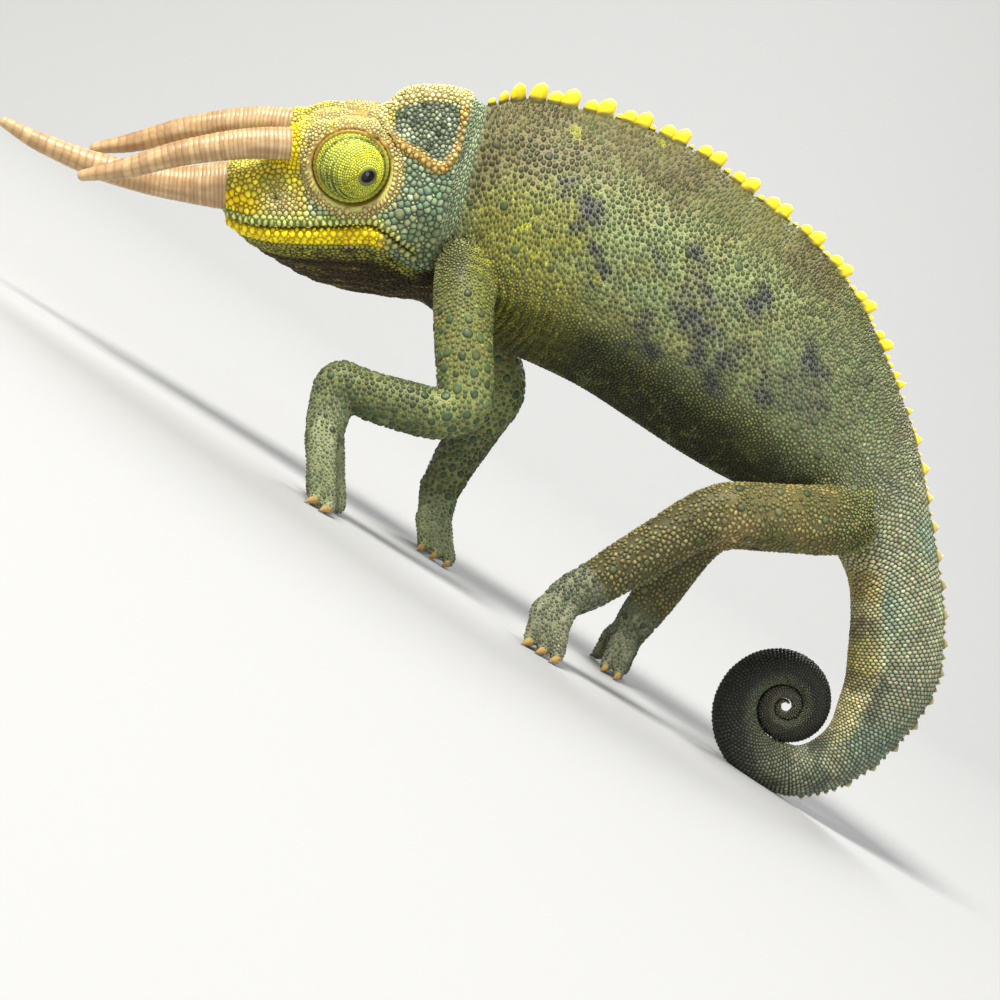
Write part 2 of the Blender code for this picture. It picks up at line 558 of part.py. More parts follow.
def make_head(sockets):
    """Head with its rims, crests and lips, and the jaw parted along the mouth line."""
    base = body_length("head", 0, FIRST_BODY - 0.5, 18, HEAD_SIDES, trim=(False, True))
    tree = BVHTree.FromObject(base, bpy.context.evaluated_depsgraph_get())
    outline = [(-60.0, MOUTH_LINE[0][1]), *MOUTH_LINE, *JAW_BACK, (-60.0, JAW_BACK[-1][1])]
    jaw = duplicate(base, "jaw")
    ridges, lips = [], []
    for side in (-1, 1):
        ridges.append(ridge("brow", tree, BROW_LINE, RIM_RADIUS, side, 9, bulge=0.25))
        ridges.append(ridge("rim", tree, CHEEK_RIM_LINE, RIM_RADIUS, side, 9))
        ridges.append(ridge("lateral", tree, LATERAL_CREST, CREST_RADIUS, side, 7))
        ridges.append(ridge("temporal", tree, TEMPORAL_CREST, CREST_RADIUS, side, 9))
        upper = [(u, w + LIP_HEIGHT) for u, w in MOUTH_LINE[:-1]]
        lower = [(u, w - LIP_HEIGHT) for u, w in MOUTH_LINE[:-1]]
        ridges.append(ridge("lip", tree, upper, LIP_RADIUS, side, 8))
        lips.append(ridge("lip", tree, lower, LIP_RADIUS, side, 8))
    combine(base, ridges, "UNION")
    combine(jaw, lips, "UNION")
    shift = GAP / 2
    combine(base, [prism("cut", [(u + shift, w + shift) for u, w in outline])], "DIFFERENCE")
    combine(jaw, [prism("keep", [(u - shift, w - shift) for u, w in outline])], "INTERSECT")
    pits = []
    for side in (-1, 1):
        point = surface_point(tree, NOSTRIL[0], NOSTRIL[1], side)
        pits.append(ball("pit", point, NOSTRIL[2], (0, 0, side), 6, 5))
    combine(base, sockets + pits, "DIFFERENCE")
    return base, jaw


def make_trunk():
    """Neck, torso, hips and the lengths of the tail, with the crest fused on."""
    nape, coil = FIRST_BODY, FIRST_COIL
    half = RUNGS_PER_TURN / 2
    lengths = (
        ("neck", nape - 0.5, nape + 1.4, 6), ("torso", nape + 1.4, nape + 7.5, 15),
        ("hips", nape + 7.5, nape + 10.6, 10), ("tail_base", nape + 10.6, nape + 13.5, 9),
        ("tail_bend", nape + 13.5, coil, 13), ("tail_coil_outer", coil, coil + half, 13),
        ("tail_coil_return", coil + half, coil + 2 * half, 12),
        ("tail_coil_inner", coil + 2 * half, coil + 3 * half, 11),
        ("tail_tip", coil + 3 * half, LADDER_END, 12))
    pieces = {}
    for name, start, stop, rings in lengths:
        last = name == "tail_tip"
        pieces[name] = body_length(name, start, stop, rings, BODY_SIDES, trim=(True, not last))
        teeth = [tooth("scale", place, height, length, width)
                 for place, height, length, width in crest_teeth()
                 if start + NODE_MARGIN < place < stop - NODE_MARGIN]
        if teeth:
            combine(pieces[name], teeth, "UNION")
    return pieces


def limb_tube(name, path, grow=0.0, ends=(0.0, 0.0)):
    """One length of a leg, a little flattened from side to side."""
    return tube(name, path, LIMB_SIDES, flat=LIMB_FLAT, grow=grow, ends=ends)


def claw(name, root, aim):
    """Small curved claw from a toe's tip."""
    root, aim = np.asarray(root, float), np.asarray(aim, float)
    aim /= np.linalg.norm(aim)
    droop = np.array([-math.sin(math.radians(FLOOR_TIP)), -math.cos(math.radians(FLOOR_TIP)), 0])
    path = []
    for step, share in zip(np.linspace(0, 1, len(CLAW_SHARES)), CLAW_SHARES):
        centre = root + CLAW_LENGTH * (aim * (step - CLAW_SINK) + droop * CLAW_DROOP * step ** 2)
        path.append((*centre, CLAW_RADIUS * share))
    return tube(name, path, CLAW_SIDES, rings=len(path))


def make_foot(name, leg, outward):
    """Foot: the palm, its two bundles of fused toes spread on the floor, and claws."""
    palm_path = leg["palm"]
    palm = tube(name, palm_path, LIMB_SIDES, flat=PALM_FLAT, ends=(GAP, 0.0))
    root = np.array(palm_path[-1][:3])
    high = np.array(palm_path[-2][:3])
    tip = math.radians(FLOOR_TIP)
    forward = np.array([-math.cos(tip), math.sin(tip), 0.0])
    upward = np.array([math.sin(tip), math.cos(tip), 0.0])
    ground = np.array([leg["foot"][0], floor_w(leg["foot"][0]), leg["foot"][1]])
    pieces = []
    for bundle, count in zip((1, -1), leg["toes"]):
        side = np.array([0.0, 0.0, outward * bundle])
        for k in range(count):
            place = (k - (count - 1) / 2) * TOE_STEP
            start = high + side * TOE_ROOT + forward * place * 0.5
            knuckle = root + side * TOE_SPREAD * 0.72 + forward * place * 0.85
            heel = ground + side * TOE_SPREAD + forward * place + upward * HEEL_HEIGHT
            middle = (knuckle + heel) / 2 + side * 0.5
            end = ground + side * (TOE_SPREAD + TOE_TIP) + forward * place + upward * TIP_HEIGHT
            path = [(*point, TOE_RADIUS * share)
                    for point, share in zip((start, knuckle, middle, heel, end), TOE_SHARES)]
            pieces.append(tube("toe", path, TOE_SIDES, rings=len(path)))
            aim = side * 0.9 + forward * (0.55 if bundle == 1 else 0.25)
            pieces.append(claw("claw", end + upward * 0.2, aim))
    combine(palm, pieces, "UNION")
    return palm


def make_legs():
    """All nodes of the four legs, and the sockets that their roots leave in the body."""
    nodes, sockets = [], {}
    for name, leg in LEGS.items():
        outward = -1 if name.endswith("left") else 1
        upper = list(leg["upper"]) + [leg["lower"][0]]
        lower = list(leg["lower"]) + [leg["palm"][0]]
        arm = limb_tube(name + "_upper", upper, ends=(0.0, GAP / 2))
        shin = limb_tube(name + "_lower", lower, ends=(GAP / 2, 0.0))
        joint = limb_tube("joint", upper, grow=GAP, ends=(0.0, -GAP / 2))
        combine(shin, [joint], "DIFFERENCE")
        foot = make_foot(name + "_foot", leg, outward)
        ankle = limb_tube("ankle", lower, grow=GAP, ends=(0.0, -GAP))
        combine(foot, [ankle], "DIFFERENCE")
        sockets[name] = [limb_tube("root", leg["upper"][:3], grow=GAP, ends=(-GAP, 0.0))
                         for _ in CARRIERS[name.split("_")[0]]]
        nodes += [arm, shin, foot]
    return nodes, sockets


def finish_node(obj, colour):
    """Own material, smooth shading, and the place on the floor in metres."""
    base, roughness = COLOURS[colour]
    material = bpy.data.materials.new(obj.name)
    material.use_nodes = True
    shader = material.node_tree.nodes["Principled BSDF"]
    shader.inputs["Base Color"].default_value = (*base, 1.0)
    shader.inputs["Roughness"].default_value = roughness
    obj.data.materials.clear()
    obj.data.materials.append(material)
    move_points(obj, stand_up)
    obj.data.flip_normals()     # u, w, y is a left-handed order of x, z, y
    obj.data.shade_smooth()


def cut_flat(obj):
    """Flat underside where the piece stands on the floor."""
    tip = math.radians(FLOOR_TIP)
    corners = []
    for run, drop in ((-200, 0), (200, 0), (200, 40), (-200, 40)):
        z = FLOOR_LEVEL - drop
        corners.append((run * math.cos(tip) + z * math.sin(tip),
                        -run * math.sin(tip) + z * math.cos(tip)))
    combine(obj, [prism("floor", corners)], "DIFFERENCE")


def main():
    """Build every node of the chameleon."""
    for obj in list(bpy.data.objects):
        bpy.data.objects.remove(obj)
    horns, horn_sockets = make_horns()
    eyes, eye_sockets = make_eyes()
    head, jaw = make_head(horn_sockets + eye_sockets)
    trunk = make_trunk()
    for obj in [*horns, *eyes, head, jaw, trunk["neck"], trunk["torso"]]:
        move_points(obj, roll_head)
    legs, leg_sockets = make_legs()
    for name, sockets in leg_sockets.items():
        for carrier, socket in zip(CARRIERS[name.split("_")[0]], sockets):
            combine(trunk[carrier], [socket], "DIFFERENCE")
    for obj in [leg for leg in legs if leg.name.endswith("_foot")]:
        cut_flat(obj)
    for name in ("tail_bend", "tail_coil_outer", "tail_coil_return"):
        cut_flat(trunk[name])
    for obj in horns:
        finish_node(obj, "horn")
    for obj in eyes:
        finish_node(obj, "eyeball" if obj.name.startswith("eyeball") else "lids")
    for obj in [head, jaw, *trunk.values(), *legs]:
        finish_node(obj, "skin")


main()
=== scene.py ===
"""Looks of a three-horned chameleon, an adult male at life size.

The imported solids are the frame. One skin takes the place of every node of
flesh, and solid scales are laid over it, each in its own cell among its
neighbours. The animal is drawn in its side plane, as in the part's source:
u runs from the horns to the tail, w up the back and y from the left side to
the right, in millimetres. The head is rolled, the plane is tipped onto the
floor, and each finished mesh goes to metres.
"""

import math
import random

import bmesh
import bpy
import numpy as np
from bpy.props import FloatProperty, FloatVectorProperty, PointerProperty
from mathutils import Matrix, Vector, kdtree
from mathutils.bvhtree import BVHTree


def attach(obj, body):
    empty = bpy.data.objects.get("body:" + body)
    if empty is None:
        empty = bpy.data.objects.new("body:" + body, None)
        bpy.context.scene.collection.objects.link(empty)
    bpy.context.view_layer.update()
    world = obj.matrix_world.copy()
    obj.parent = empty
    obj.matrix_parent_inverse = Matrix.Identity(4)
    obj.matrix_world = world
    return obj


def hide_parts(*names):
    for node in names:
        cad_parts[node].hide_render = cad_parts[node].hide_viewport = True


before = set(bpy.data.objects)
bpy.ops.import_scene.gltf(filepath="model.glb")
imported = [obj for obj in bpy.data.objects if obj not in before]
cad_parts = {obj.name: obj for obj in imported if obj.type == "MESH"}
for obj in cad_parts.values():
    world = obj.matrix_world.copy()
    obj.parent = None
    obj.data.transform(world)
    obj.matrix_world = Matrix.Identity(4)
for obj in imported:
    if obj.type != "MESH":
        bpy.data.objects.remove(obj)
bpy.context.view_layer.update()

bl_info = {
    "name": "Three-horned chameleon",
    "version": (1, 0, 0),
    "blender": (4, 5, 0),
    "location": "View3D > Sidebar > Chameleon",
    "description": "Skin, scales, horns, eyes and crest of a three-horned chameleon",
    "category": "Add Mesh",
}

# Frame of the animal, repeated from the part's source in millimetres and degrees
MM = 0.001
FLOOR_TIP = 33.45
FLOOR_LEVEL = -55.2
MIDDLE_X = 24.04
HEAD_ROLL = 22.0
ROLL_FROM, ROLL_TO = -1.0, 16.0
NECK_SLANT = 0.27

# Rungs of the head: back u, w, belly u, w, then half widths at these levels
LEVELS = (-1.0, -0.6, -0.12, 0.25, 0.65, 1.0)
HEAD_RUNGS = (
    (-38.7, 3.2, -38.3, -3.0, 1.4, 2.8, 3.8, 3.6, 3.2, 2.2),
    (-38.0, 6.0, -37.4, -5.2, 1.6, 3.6, 5.0, 4.8, 4.2, 2.8),
    (-35.7, 7.5, -35.4, -7.4, 1.8, 4.6, 6.4, 6.2, 5.3, 3.2),
    (-32.9, 8.3, -32.4, -9.6, 2.2, 5.4, 7.8, 7.4, 6.2, 3.8),
    (-30.0, 9.6, -29.0, -11.8, 2.4, 6.2, 8.6, 8.0, 6.6, 4.4),
    (-26.1, 13.4, -25.4, -14.0, 2.8, 7.0, 9.5, 8.7, 6.8, 4.8),
    (-22.6, 15.6, -21.3, -15.6, 3.0, 7.8, 10.2, 8.8, 6.6, 4.8),
    (-18.3, 16.0, -16.6, -16.8, 3.2, 8.4, 11.0, 8.8, 6.2, 4.6),
    (-13.9, 15.4, -12.2, -17.5, 3.4, 8.8, 11.6, 9.6, 6.6, 4.0),
    (-10.7, 16.6, -9.6, -17.9, 3.4, 9.0, 11.8, 10.8, 7.2, 3.6),
    (-7.2, 19.4, -8.4, -18.2, 3.4, 9.0, 11.8, 11.2, 7.4, 3.3),
    (-3.4, 20.0, -7.5, -18.2, 3.4, 8.8, 11.4, 11.0, 7.2, 3.0),
    (1.0, 19.8, -6.7, -18.3, 3.2, 8.6, 10.8, 10.3, 6.4, 2.6),
    (4.1, 19.2, -6.0, -18.6, 3.0, 8.4, 10.2, 9.4, 5.4, 2.2),
)
# Rungs of the body and the straight of the tail: back u, w, belly u, w, half width
BODY_RUNGS = (
    (6.0, 17.4, -5.0, -19.0, 8.8), (9.8, 17.6, -1.6, -21.2, 9.4),
    (14.0, 17.8, 3.6, -24.0, 10.6), (24.5, 15.6, 14.0, -28.2, 12.2),
    (34.6, 12.5, 22.8, -32.5, 13.0), (44.0, 7.9, 31.5, -38.1, 13.2),
    (53.6, 0.5, 40.2, -43.8, 12.8), (62.7, -6.6, 48.1, -48.3, 11.8),
    (70.9, -16.6, 55.1, -51.6, 10.6), (77.0, -29.4, 61.2, -54.8, 9.4),
    (81.4, -41.6, 66.5, -60.0, 8.4), (84.3, -55.6, 69.6, -65.8, 7.4),
    (86.4, -68.8, 70.2, -72.2, 6.6), (86.7, -79.0, 69.7, -79.4, 6.0),
    (85.2, -86.0, 69.3, -83.6, 5.5), (81.2, -92.6, 68.0, -88.0, 5.0),
    (76.0, -98.2, 66.7, -91.7, 4.5), (70.2, -102.2, 64.0, -94.3, 4.1),
    (64.6, -104.2, 61.2, -95.4, 3.8),
)
BODY_PROFILE = (0.30, 0.86, 1.0, 0.93, 0.62, 0.17)
TAIL_PROFILE = (0.34, 0.88, 1.0, 0.94, 0.68, 0.22)
TAIL_FROM, TAIL_EASE = 9, 3
THINNEST = 0.12
COIL_CENTRE = (58.9, -88.5)
COIL_RADIUS, COIL_RATIO, COIL_TURNS, COIL_WIDTH = 16.0, 0.40, 2.7, 0.23
COIL_CLEAR, COIL_TIP, COIL_TAPER = -0.15, 0.35, 1.6
RUNGS_PER_TURN = 12

# Crest of the back and keel of the tail
CREST_PITCH, CREST_CROWDING, PAIR_STEP = 7.35, 1.8, 2.6
CREST_LARGE, CREST_SMALL = (2.5, 3.2, 2.3), (1.8, 2.7, 1.9)
NAPE_SCALES = ((0.9, 0.55), (1.6, 0.85))
KEEL_PITCH, KEEL_SCALE = 5.2, (1.15, 2.8, 1.5)
CREST_FROM, KEEL_FROM, KEEL_TO = 2.15, 9.6, 17.5
CREST_FADE, KEEL_FADE, TOOTH_LEAN = 0.4, 0.03, 0.22
CREST_SEED = 7

# Lines and places on the side of the head
EYE_CENTRE, EYE_RADIUS = (-16.4, 9.0, 7.2), 6.3
PUPIL_RADIUS, EYEBALL_RADIUS = 1.1, 1.9
SOCKET_RADIUS = 6.55        # opening in the skin round a turret
HOODS = {-1: 0.09, 1: 0.16}   # how much lower the opening is above, left and right
RIM_WIDTH = 0.95            # smooth edge of skin round the opening
GAZES = {"left": (-1, 30.0, -5.0), "right": (1, -18.0, 4.0)}   # side, degrees back and up
NOSTRIL = (-29.6, 3.0)
MOUTH_LINE = ((-38.6, -1.9), (-37.0, -1.9), (-32.4, -2.1), (-25.7, -1.8), (-18.7, -1.2),
              (-13.5, -0.9), (-10.8, -1.8), (-8.4, -3.8), (-6.1, -6.0))
BROW_RIDGE = ((-27.5, 11.4, 4.6, 2.0), (-25.0, 12.6, 5.0, 2.0), (-22.0, 13.8, 5.4, 1.7),
              (-18.5, 14.2, 5.8, 1.2), (-16.0, 13.8, 6.0, 0.7))
EYE_RIM = ((-24.4, 9.0), (-23.6, 12.6), (-20.6, 15.4), (-16.4, 16.4), (-12.2, 15.6),
           (-9.4, 12.8), (-8.7, 9.2), (-9.8, 5.0), (-12.6, 2.4), (-16.4, 1.6), (-20.2, 2.6),
           (-23.0, 5.2), (-24.4, 9.0))
LATERAL_CREST = ((-12.8, 14.9), (-10.6, 16.7), (-8.0, 18.8), (-4.4, 19.5),
                 (-0.4, 19.3), (2.8, 18.3))
TEMPORAL_CREST = ((-9.4, 13.2), (-7.4, 12.3), (-4.8, 10.8), (-1.6, 8.8), (1.0, 10.4),
                  (2.6, 13.6), (3.0, 17.2))
ROSTRAL_HORN = ((-34.0, 2.6, 0.0, 4.2), (-39.0, 2.7, 0.0, 4.1), (-46.4, 3.0, 0.0, 3.05),
                (-53.5, 4.2, 0.0, 2.55), (-60.9, 6.4, 0.0, 2.25), (-67.5, 9.2, 0.0, 1.8),
                (-72.2, 11.6, 0.0, 1.35), (-76.8, 14.6, 0.0, 0.45))
BROW_HORN = ((-24.8, 11.6, 4.9, 2.6), (-27.4, 12.0, 5.3, 2.8), (-34.8, 12.2, 6.2, 2.55),
             (-45.2, 10.8, 6.8, 2.15), (-55.0, 8.2, 7.2, 1.6), (-63.0, 6.9, 7.4, 0.45))

# Legs: u, w, y and radius down each limb
LEGS = {
    "front_left": dict(
        limb=((2.8, -9.0, -3.0, 5.0), (2.6, -16.0, -9.5, 5.3), (2.6, -25.0, -13.6, 5.1),
              (3.0, -31.6, -15.2, 4.9), (2.6, -35.0, -15.8, 4.7), (-1.6, -36.4, -16.4, 4.5),
              (-7.0, -35.2, -17.0, 4.5), (-12.4, -33.6, -17.6, 4.3), (-16.0, -32.0, -18.0, 4.0),
              (-18.4, -31.6, -18.2, 4.0), (-20.0, -36.6, -18.6, 3.7), (-20.8, -41.0, -18.8, 3.2)),
        foot=(-21.6, -18.8), toes=(2, 3)),
    "front_right": dict(
        limb=((2.8, -9.0, 6.0, 5.0), (4.4, -16.0, 11.5, 5.3), (6.8, -25.0, 14.8, 5.1),
              (8.6, -31.6, 16.4, 4.9), (8.2, -35.0, 16.8, 4.7), (5.4, -39.0, 17.4, 4.5),
              (2.4, -43.4, 17.8, 4.4), (-0.2, -47.6, 18.0, 4.1), (-1.4, -50.0, 18.2, 3.9),
              (-2.2, -51.2, 18.4, 3.8), (-2.8, -54.6, 18.6, 3.5), (-3.2, -57.6, 18.8, 3.1)),
        foot=(-3.6, 18.8), toes=(2, 3)),
    "hind_left": dict(
        limb=((71.0, -55.4, -5.0, 5.2), (66.5, -55.2, -8.0, 6.0), (57.5, -54.4, -12.6, 5.9),
              (49.6, -53.2, -15.4, 5.3), (45.6, -53.2, -16.4, 5.0), (41.2, -55.0, -17.0, 4.7),
              (35.0, -58.8, -17.6, 4.5), (29.0, -62.4, -18.0, 4.3), (25.4, -64.6, -18.2, 4.0),
              (24.0, -65.4, -18.4, 4.0), (20.0, -67.4, -18.8, 3.6), (17.4, -69.8, -19.0, 3.1)),
        foot=(15.2, -19.0), toes=(3, 2)),
    "hind_right": dict(
        limb=((71.0, -55.6, 5.0, 5.2), (66.5, -56.2, 8.0, 6.0), (58.0, -56.6, 12.6, 5.9),
              (50.6, -57.0, 15.4, 5.3), (46.8, -58.4, 16.4, 5.0), (43.6, -61.6, 17.0, 4.7),
              (40.4, -66.0, 17.6, 4.5), (37.4, -70.4, 18.0, 4.3), (35.4, -73.2, 18.2, 4.0),
              (34.4, -74.6, 18.4, 3.9), (32.6, -77.2, 18.8, 3.5), (31.0, -79.8, 19.0, 3.1)),
        foot=(28.4, 19.0), toes=(3, 2)),
}
LIMB_FLAT = 0.9
TOE_RADIUS, TOE_STEP, TOE_SPREAD = 1.75, 2.7, 4.6
TOE_SHARES = (1.1, 1.12, 1.0, 0.98, 0.66)
TOE_TIP, HEEL_HEIGHT, TIP_HEIGHT, TOE_ROOT = 1.6, 1.6, 0.85, 1.2
CLAW_LENGTH, CLAW_RADIUS, CLAW_DROOP, CLAW_SINK = 2.6, 0.75, 0.5, 0.3
TOE_THIN = 0.55             # how much thinner the toes of skin are than those of the solids

FLESH = ("head", "jaw", "neck", "torso", "hips", "tail_base", "tail_bend", "tail_coil_outer",
         "tail_coil_return", "tail_coil_inner", "tail_tip",
         *(f"{leg}_{length}" for leg in LEGS for length in ("upper", "lower", "foot")))

# How fine the skin is made, and how the coat lies on it
RING_SIDES, TRUNK_RINGS, COIL_RINGS, LIMB_RINGS = 96, 420, 260, 90
CAP_POWER = 12              # a ring closes over the back and belly like 1 - level to this power
SKIN_TRIANGLES = 190000
RELAX_ROUNDS = 14
FLOOR_CLEAR = 0.02          # least height of a point over the floor
BODY, FIRST_LEG = 0, 1      # strand numbers of the charts
TRUNK_END = 33.5            # ladder place where the remeshed trunk ends inside the coil
COIL_FROM = 32.85
COIL_FULLER = 0.8           # share of the coat's depth that the coil's skin takes back
COIL_FULL = (33.5, 36.0)    # ladder places between which it comes to do so
# Outline of the cup round an eye, as distance from its axis and height along that
CUP_OUTLINE = ((7.3, -5.0), (7.7, -2.0), (7.75, 0.2), (7.55, 1.3), (7.1, 1.75),
               (6.75, 1.5), (6.55, 0.6), (4.0, -1.0), (0.5, -1.5))


def smooth(rows, places):
    """Catmull-Rom curve through the rows, read at the given row numbers."""
    rows = np.asarray(rows, float)
    places = np.atleast_1d(np.asarray(places, float))
    last = len(rows) - 1
    padded = np.vstack([2 * rows[0] - rows[1], rows, 2 * rows[-1] - rows[-2]])
    cell = np.clip(np.floor(places).astype(int), 0, last - 1)
    f = (places - cell)[:, None]
    a, b, c, d = (padded[cell + k] for k in range(4))
    return 0.5 * (2 * b + (c - a) * f + (2 * a - 5 * b + 4 * c - d) * f ** 2
                  + (3 * b - a - 3 * c + d) * f ** 3)


def ease(x, low, high):
    """Smooth step from 0 at low to 1 at high."""
    f = np.clip((x - low) / (high - low), 0, 1)
    return f * f * (3 - 2 * f)


def unit(vectors):
    """Vectors of length one."""
    return vectors / np.maximum(np.linalg.norm(vectors, axis=-1, keepdims=True), 1e-9)


def run_along(line):
    """Distance along a line up to each of its points."""
    return np.concatenate([[0], np.cumsum(np.linalg.norm(np.diff(line, axis=0), axis=1))])


def turns(count):
    """Angles of so many points set evenly round a ring."""
    return np.arange(count) * 2 * math.pi / count


def point_tree(points):
    """Tree that finds the nearest of many points."""
    tree = kdtree.KDTree(len(points))
    for number, place in enumerate(points.tolist()):
        tree.insert(place, number)
    tree.balance()
    return tree


def neck_place(points):
    """Place along the neck, square to the slant of the head's back edge."""
    return points[..., 0] - NECK_SLANT * points[..., 1]


def coil_rungs():
    """Rungs of the spiral: its outer line, its inner line and its half width."""
    rungs = []
    for k in range(int(COIL_TURNS * RUNGS_PER_TURN) + 1):
        turn = k / RUNGS_PER_TURN
        angle = -math.pi / 2 - 2 * math.pi * turn
        outer = COIL_RADIUS * COIL_RATIO ** turn
        inner = outer * COIL_RATIO + COIL_CLEAR
        end = min(1.0, COIL_TIP + COIL_TAPER * (COIL_TURNS - turn))
        middle, half = (outer + inner) / 2, (outer - inner) / 2 * end
        du, dw = math.cos(angle), math.sin(angle)
        rungs.append((COIL_CENTRE[0] + (middle + half) * du, COIL_CENTRE[1] + (middle + half) * dw,
                      COIL_CENTRE[0] + (middle - half) * du, COIL_CENTRE[1] + (middle - half) * dw,
                      COIL_WIDTH * outer * end))
    return rungs


def body_ladder():
    """All rungs from the snout to the tail's tip, each with its own half widths."""
    rows = [list(rung) for rung in HEAD_RUNGS]
    for k, (du, dw, vu, vw, half) in enumerate(list(BODY_RUNGS) + coil_rungs()):
        tail = min(max((k - TAIL_FROM) / TAIL_EASE, 0), 1)
        profile = np.array(BODY_PROFILE) * (1 - tail) + np.array(TAIL_PROFILE) * tail
        rows.append([du, dw, vu, vw, *(half * profile)])
    return np.array(rows)


LADDER = body_ladder()
FIRST_BODY = len(HEAD_RUNGS)
LADDER_END = len(LADDER) - 1


def turn_head(points, places, sense):
    """Turn points about the head's long axis by the roll at given places, which eases to
    nothing along the neck."""
    angle = sense * math.radians(HEAD_ROLL) * (1 - ease(neck_place(places), ROLL_FROM, ROLL_TO))
    w, y = points[..., 1], points[..., 2]
    return np.stack([points[..., 0], w * np.cos(angle) + y * np.sin(angle),
                     y * np.cos(angle) - w * np.sin(angle)], axis=-1)


def unroll_head(points, rounds=8):
    """Undo the roll: guess the place before it, turn back by the roll there, and repeat."""
    home = points
    for _ in range(rounds):
        home = turn_head(points, home, -1)
    return home


def stand_up(points):
    """Tip the side plane onto the floor and centre it, still in millimetres."""
    tip = math.radians(FLOOR_TIP)
    u, w, y = points[..., 0], points[..., 1], points[..., 2]
    return np.stack([u * math.cos(tip) - w * math.sin(tip) - MIDDLE_X, y,
                     u * math.sin(tip) + w * math.cos(tip) - FLOOR_LEVEL], axis=-1)


def lie_down(points):
    """Undo stand_up: from the floor back to u, w and y."""
    tip = math.radians(FLOOR_TIP)
    x, z = points[..., 0] + MIDDLE_X, points[..., 2] + FLOOR_LEVEL
    return np.stack([x * math.cos(tip) + z * math.sin(tip),
                     z * math.cos(tip) - x * math.sin(tip), points[..., 1]], axis=-1)


def head_to_floor(points):
    """From the head's own u, w and y to the floor's millimetres."""
    points = np.asarray(points, float)
    return stand_up(turn_head(points, points, 1))


def home_places(points, charts):
    """Floor places in the head's and body's own u, w and y; legs are not rolled."""
    flat = lie_down(points)
    return np.where((charts[:, 0] == BODY)[:, None], unroll_head(flat), flat)


def floor_w(u):
    """Height w of the floor line under a place u of the side plane."""
    tip = math.radians(FLOOR_TIP)
    return (FLOOR_LEVEL - u * math.sin(tip)) / math.cos(tip)


def body_grid(places, sides, inset=0.0):
    """Rings round the body: at angle f the level is -cos f and the half width there,
    closed over back and belly by a root of 1 - level to a high power."""
    rows = smooth(LADDER, places)
    turn = turns(sides)
    level = -np.cos(turn)
    widths = smooth(rows[:, 4:].T, np.interp(level, LEVELS, range(len(LEVELS)))).T
    inset = inset * (1 - COIL_FULLER * ease(np.asarray(places, float), *COIL_FULL))[:, None]
    widths = np.maximum(widths - inset, THINNEST) * np.sqrt(1 - np.abs(level) ** CAP_POWER)
    belly, back = rows[:, None, 2:4], rows[:, None, 0:2]
    line = belly + (back - belly) * ((level + 1) / 2)[:, None]
    line = line - unit(back - belly) * (inset * level)[..., None]
    y = -np.sign(np.round(np.sin(turn), 9)) * widths
    return np.concatenate([line, y[..., None]], axis=-1)


def tube_grid(path, count, sides, flat=1.0, grow=0.0):
    """Rings along a smooth path of u, w, y and radius, a little flattened."""
    path = np.asarray(path, float)
    rows = smooth(path, np.linspace(0, len(path) - 1, count))
    centre, radius = rows[:, :3], rows[:, 3] + grow
    along = unit(np.gradient(centre, axis=0))
    across = unit(np.cross(along, (0.0, 0.0, 1.0)))
    depth = np.cross(across, along)
    turn = turns(sides)
    ring = (np.cos(turn)[:, None] * across[:, None, :]
            + flat * np.sin(turn)[:, None] * depth[:, None, :])
    return centre[:, None, :] + radius[:, None, None] * ring


def ring_faces(rings, sides):
    """Quads between neighbouring rings."""
    i, j = np.meshgrid(np.arange(rings - 1), np.arange(sides), indexing="ij")
    k = (j + 1) % sides
    quads = np.stack([i * sides + j, i * sides + k, (i + 1) * sides + k, (i + 1) * sides + j], -1)
    return quads.reshape(-1, 4)


def closed_grid(grid):
    """Points and faces of a grid of rings, with a fan of triangles over each end."""
    rings, sides = grid.shape[:2]
    points = np.vstack([grid.reshape(-1, 3), grid[0].mean(axis=0), grid[-1].mean(axis=0)])
    faces = ring_faces(rings, sides).tolist()
    first, last, end = rings * sides, rings * sides + 1, (rings - 1) * sides
    faces += [(first, (j + 1) % sides, j) for j in range(sides)]
    faces += [(last, end + j, end + (j + 1) % sides) for j in range(sides)]
    return points, faces


def add_mesh(name, points, faces):
    """Mesh object from points and faces, linked to the scene."""
    mesh = bpy.data.meshes.new(name)
    mesh.from_pydata(np.asarray(points).tolist(), [], [tuple(f) for f in faces])
    obj = bpy.data.objects.new(name, mesh)
    bpy.context.scene.collection.objects.link(obj)
    return obj


def face_outwards(obj):
    """Recalculate the normals of a closed mesh."""
    bm = bmesh.new()
    bm.from_mesh(obj.data)
    bmesh.ops.recalc_face_normals(bm, faces=bm.faces)
    bm.to_mesh(obj.data)
    bm.free()


def join_rings(grids):
    """Points and faces of several closed grids, one after the other."""
    points, faces, start = [], [], 0
    for grid in grids:
        part_points, part_faces = closed_grid(grid)
        points.append(part_points)
        faces += [tuple(start + k for k in face) for face in part_faces]
        start += len(part_points)
    return np.vstack(points), faces


def apply_modifier(obj, kind, **settings):
    """Add one modifier, put its result in the mesh and drop it."""
    step = obj.modifiers.new(kind.lower(), kind)
    for key, value in settings.items():
        setattr(step, key, value)
    graph = bpy.context.evaluated_depsgraph_get()
    mesh = bpy.data.meshes.new_from_object(obj.evaluated_get(graph))
    old = obj.data
    obj.modifiers.clear()
    obj.data = mesh
    bpy.data.meshes.remove(old)


def read_points(mesh):
    """All vertex places of a mesh as an array."""
    points = np.empty(len(mesh.vertices) * 3)
    mesh.vertices.foreach_get("co", points)
    return points.reshape(-1, 3)


def write_points(mesh, points):
    """Send new vertex places to a mesh."""
    mesh.vertices.foreach_set("co", np.ascontiguousarray(points).ravel())
    mesh.update()


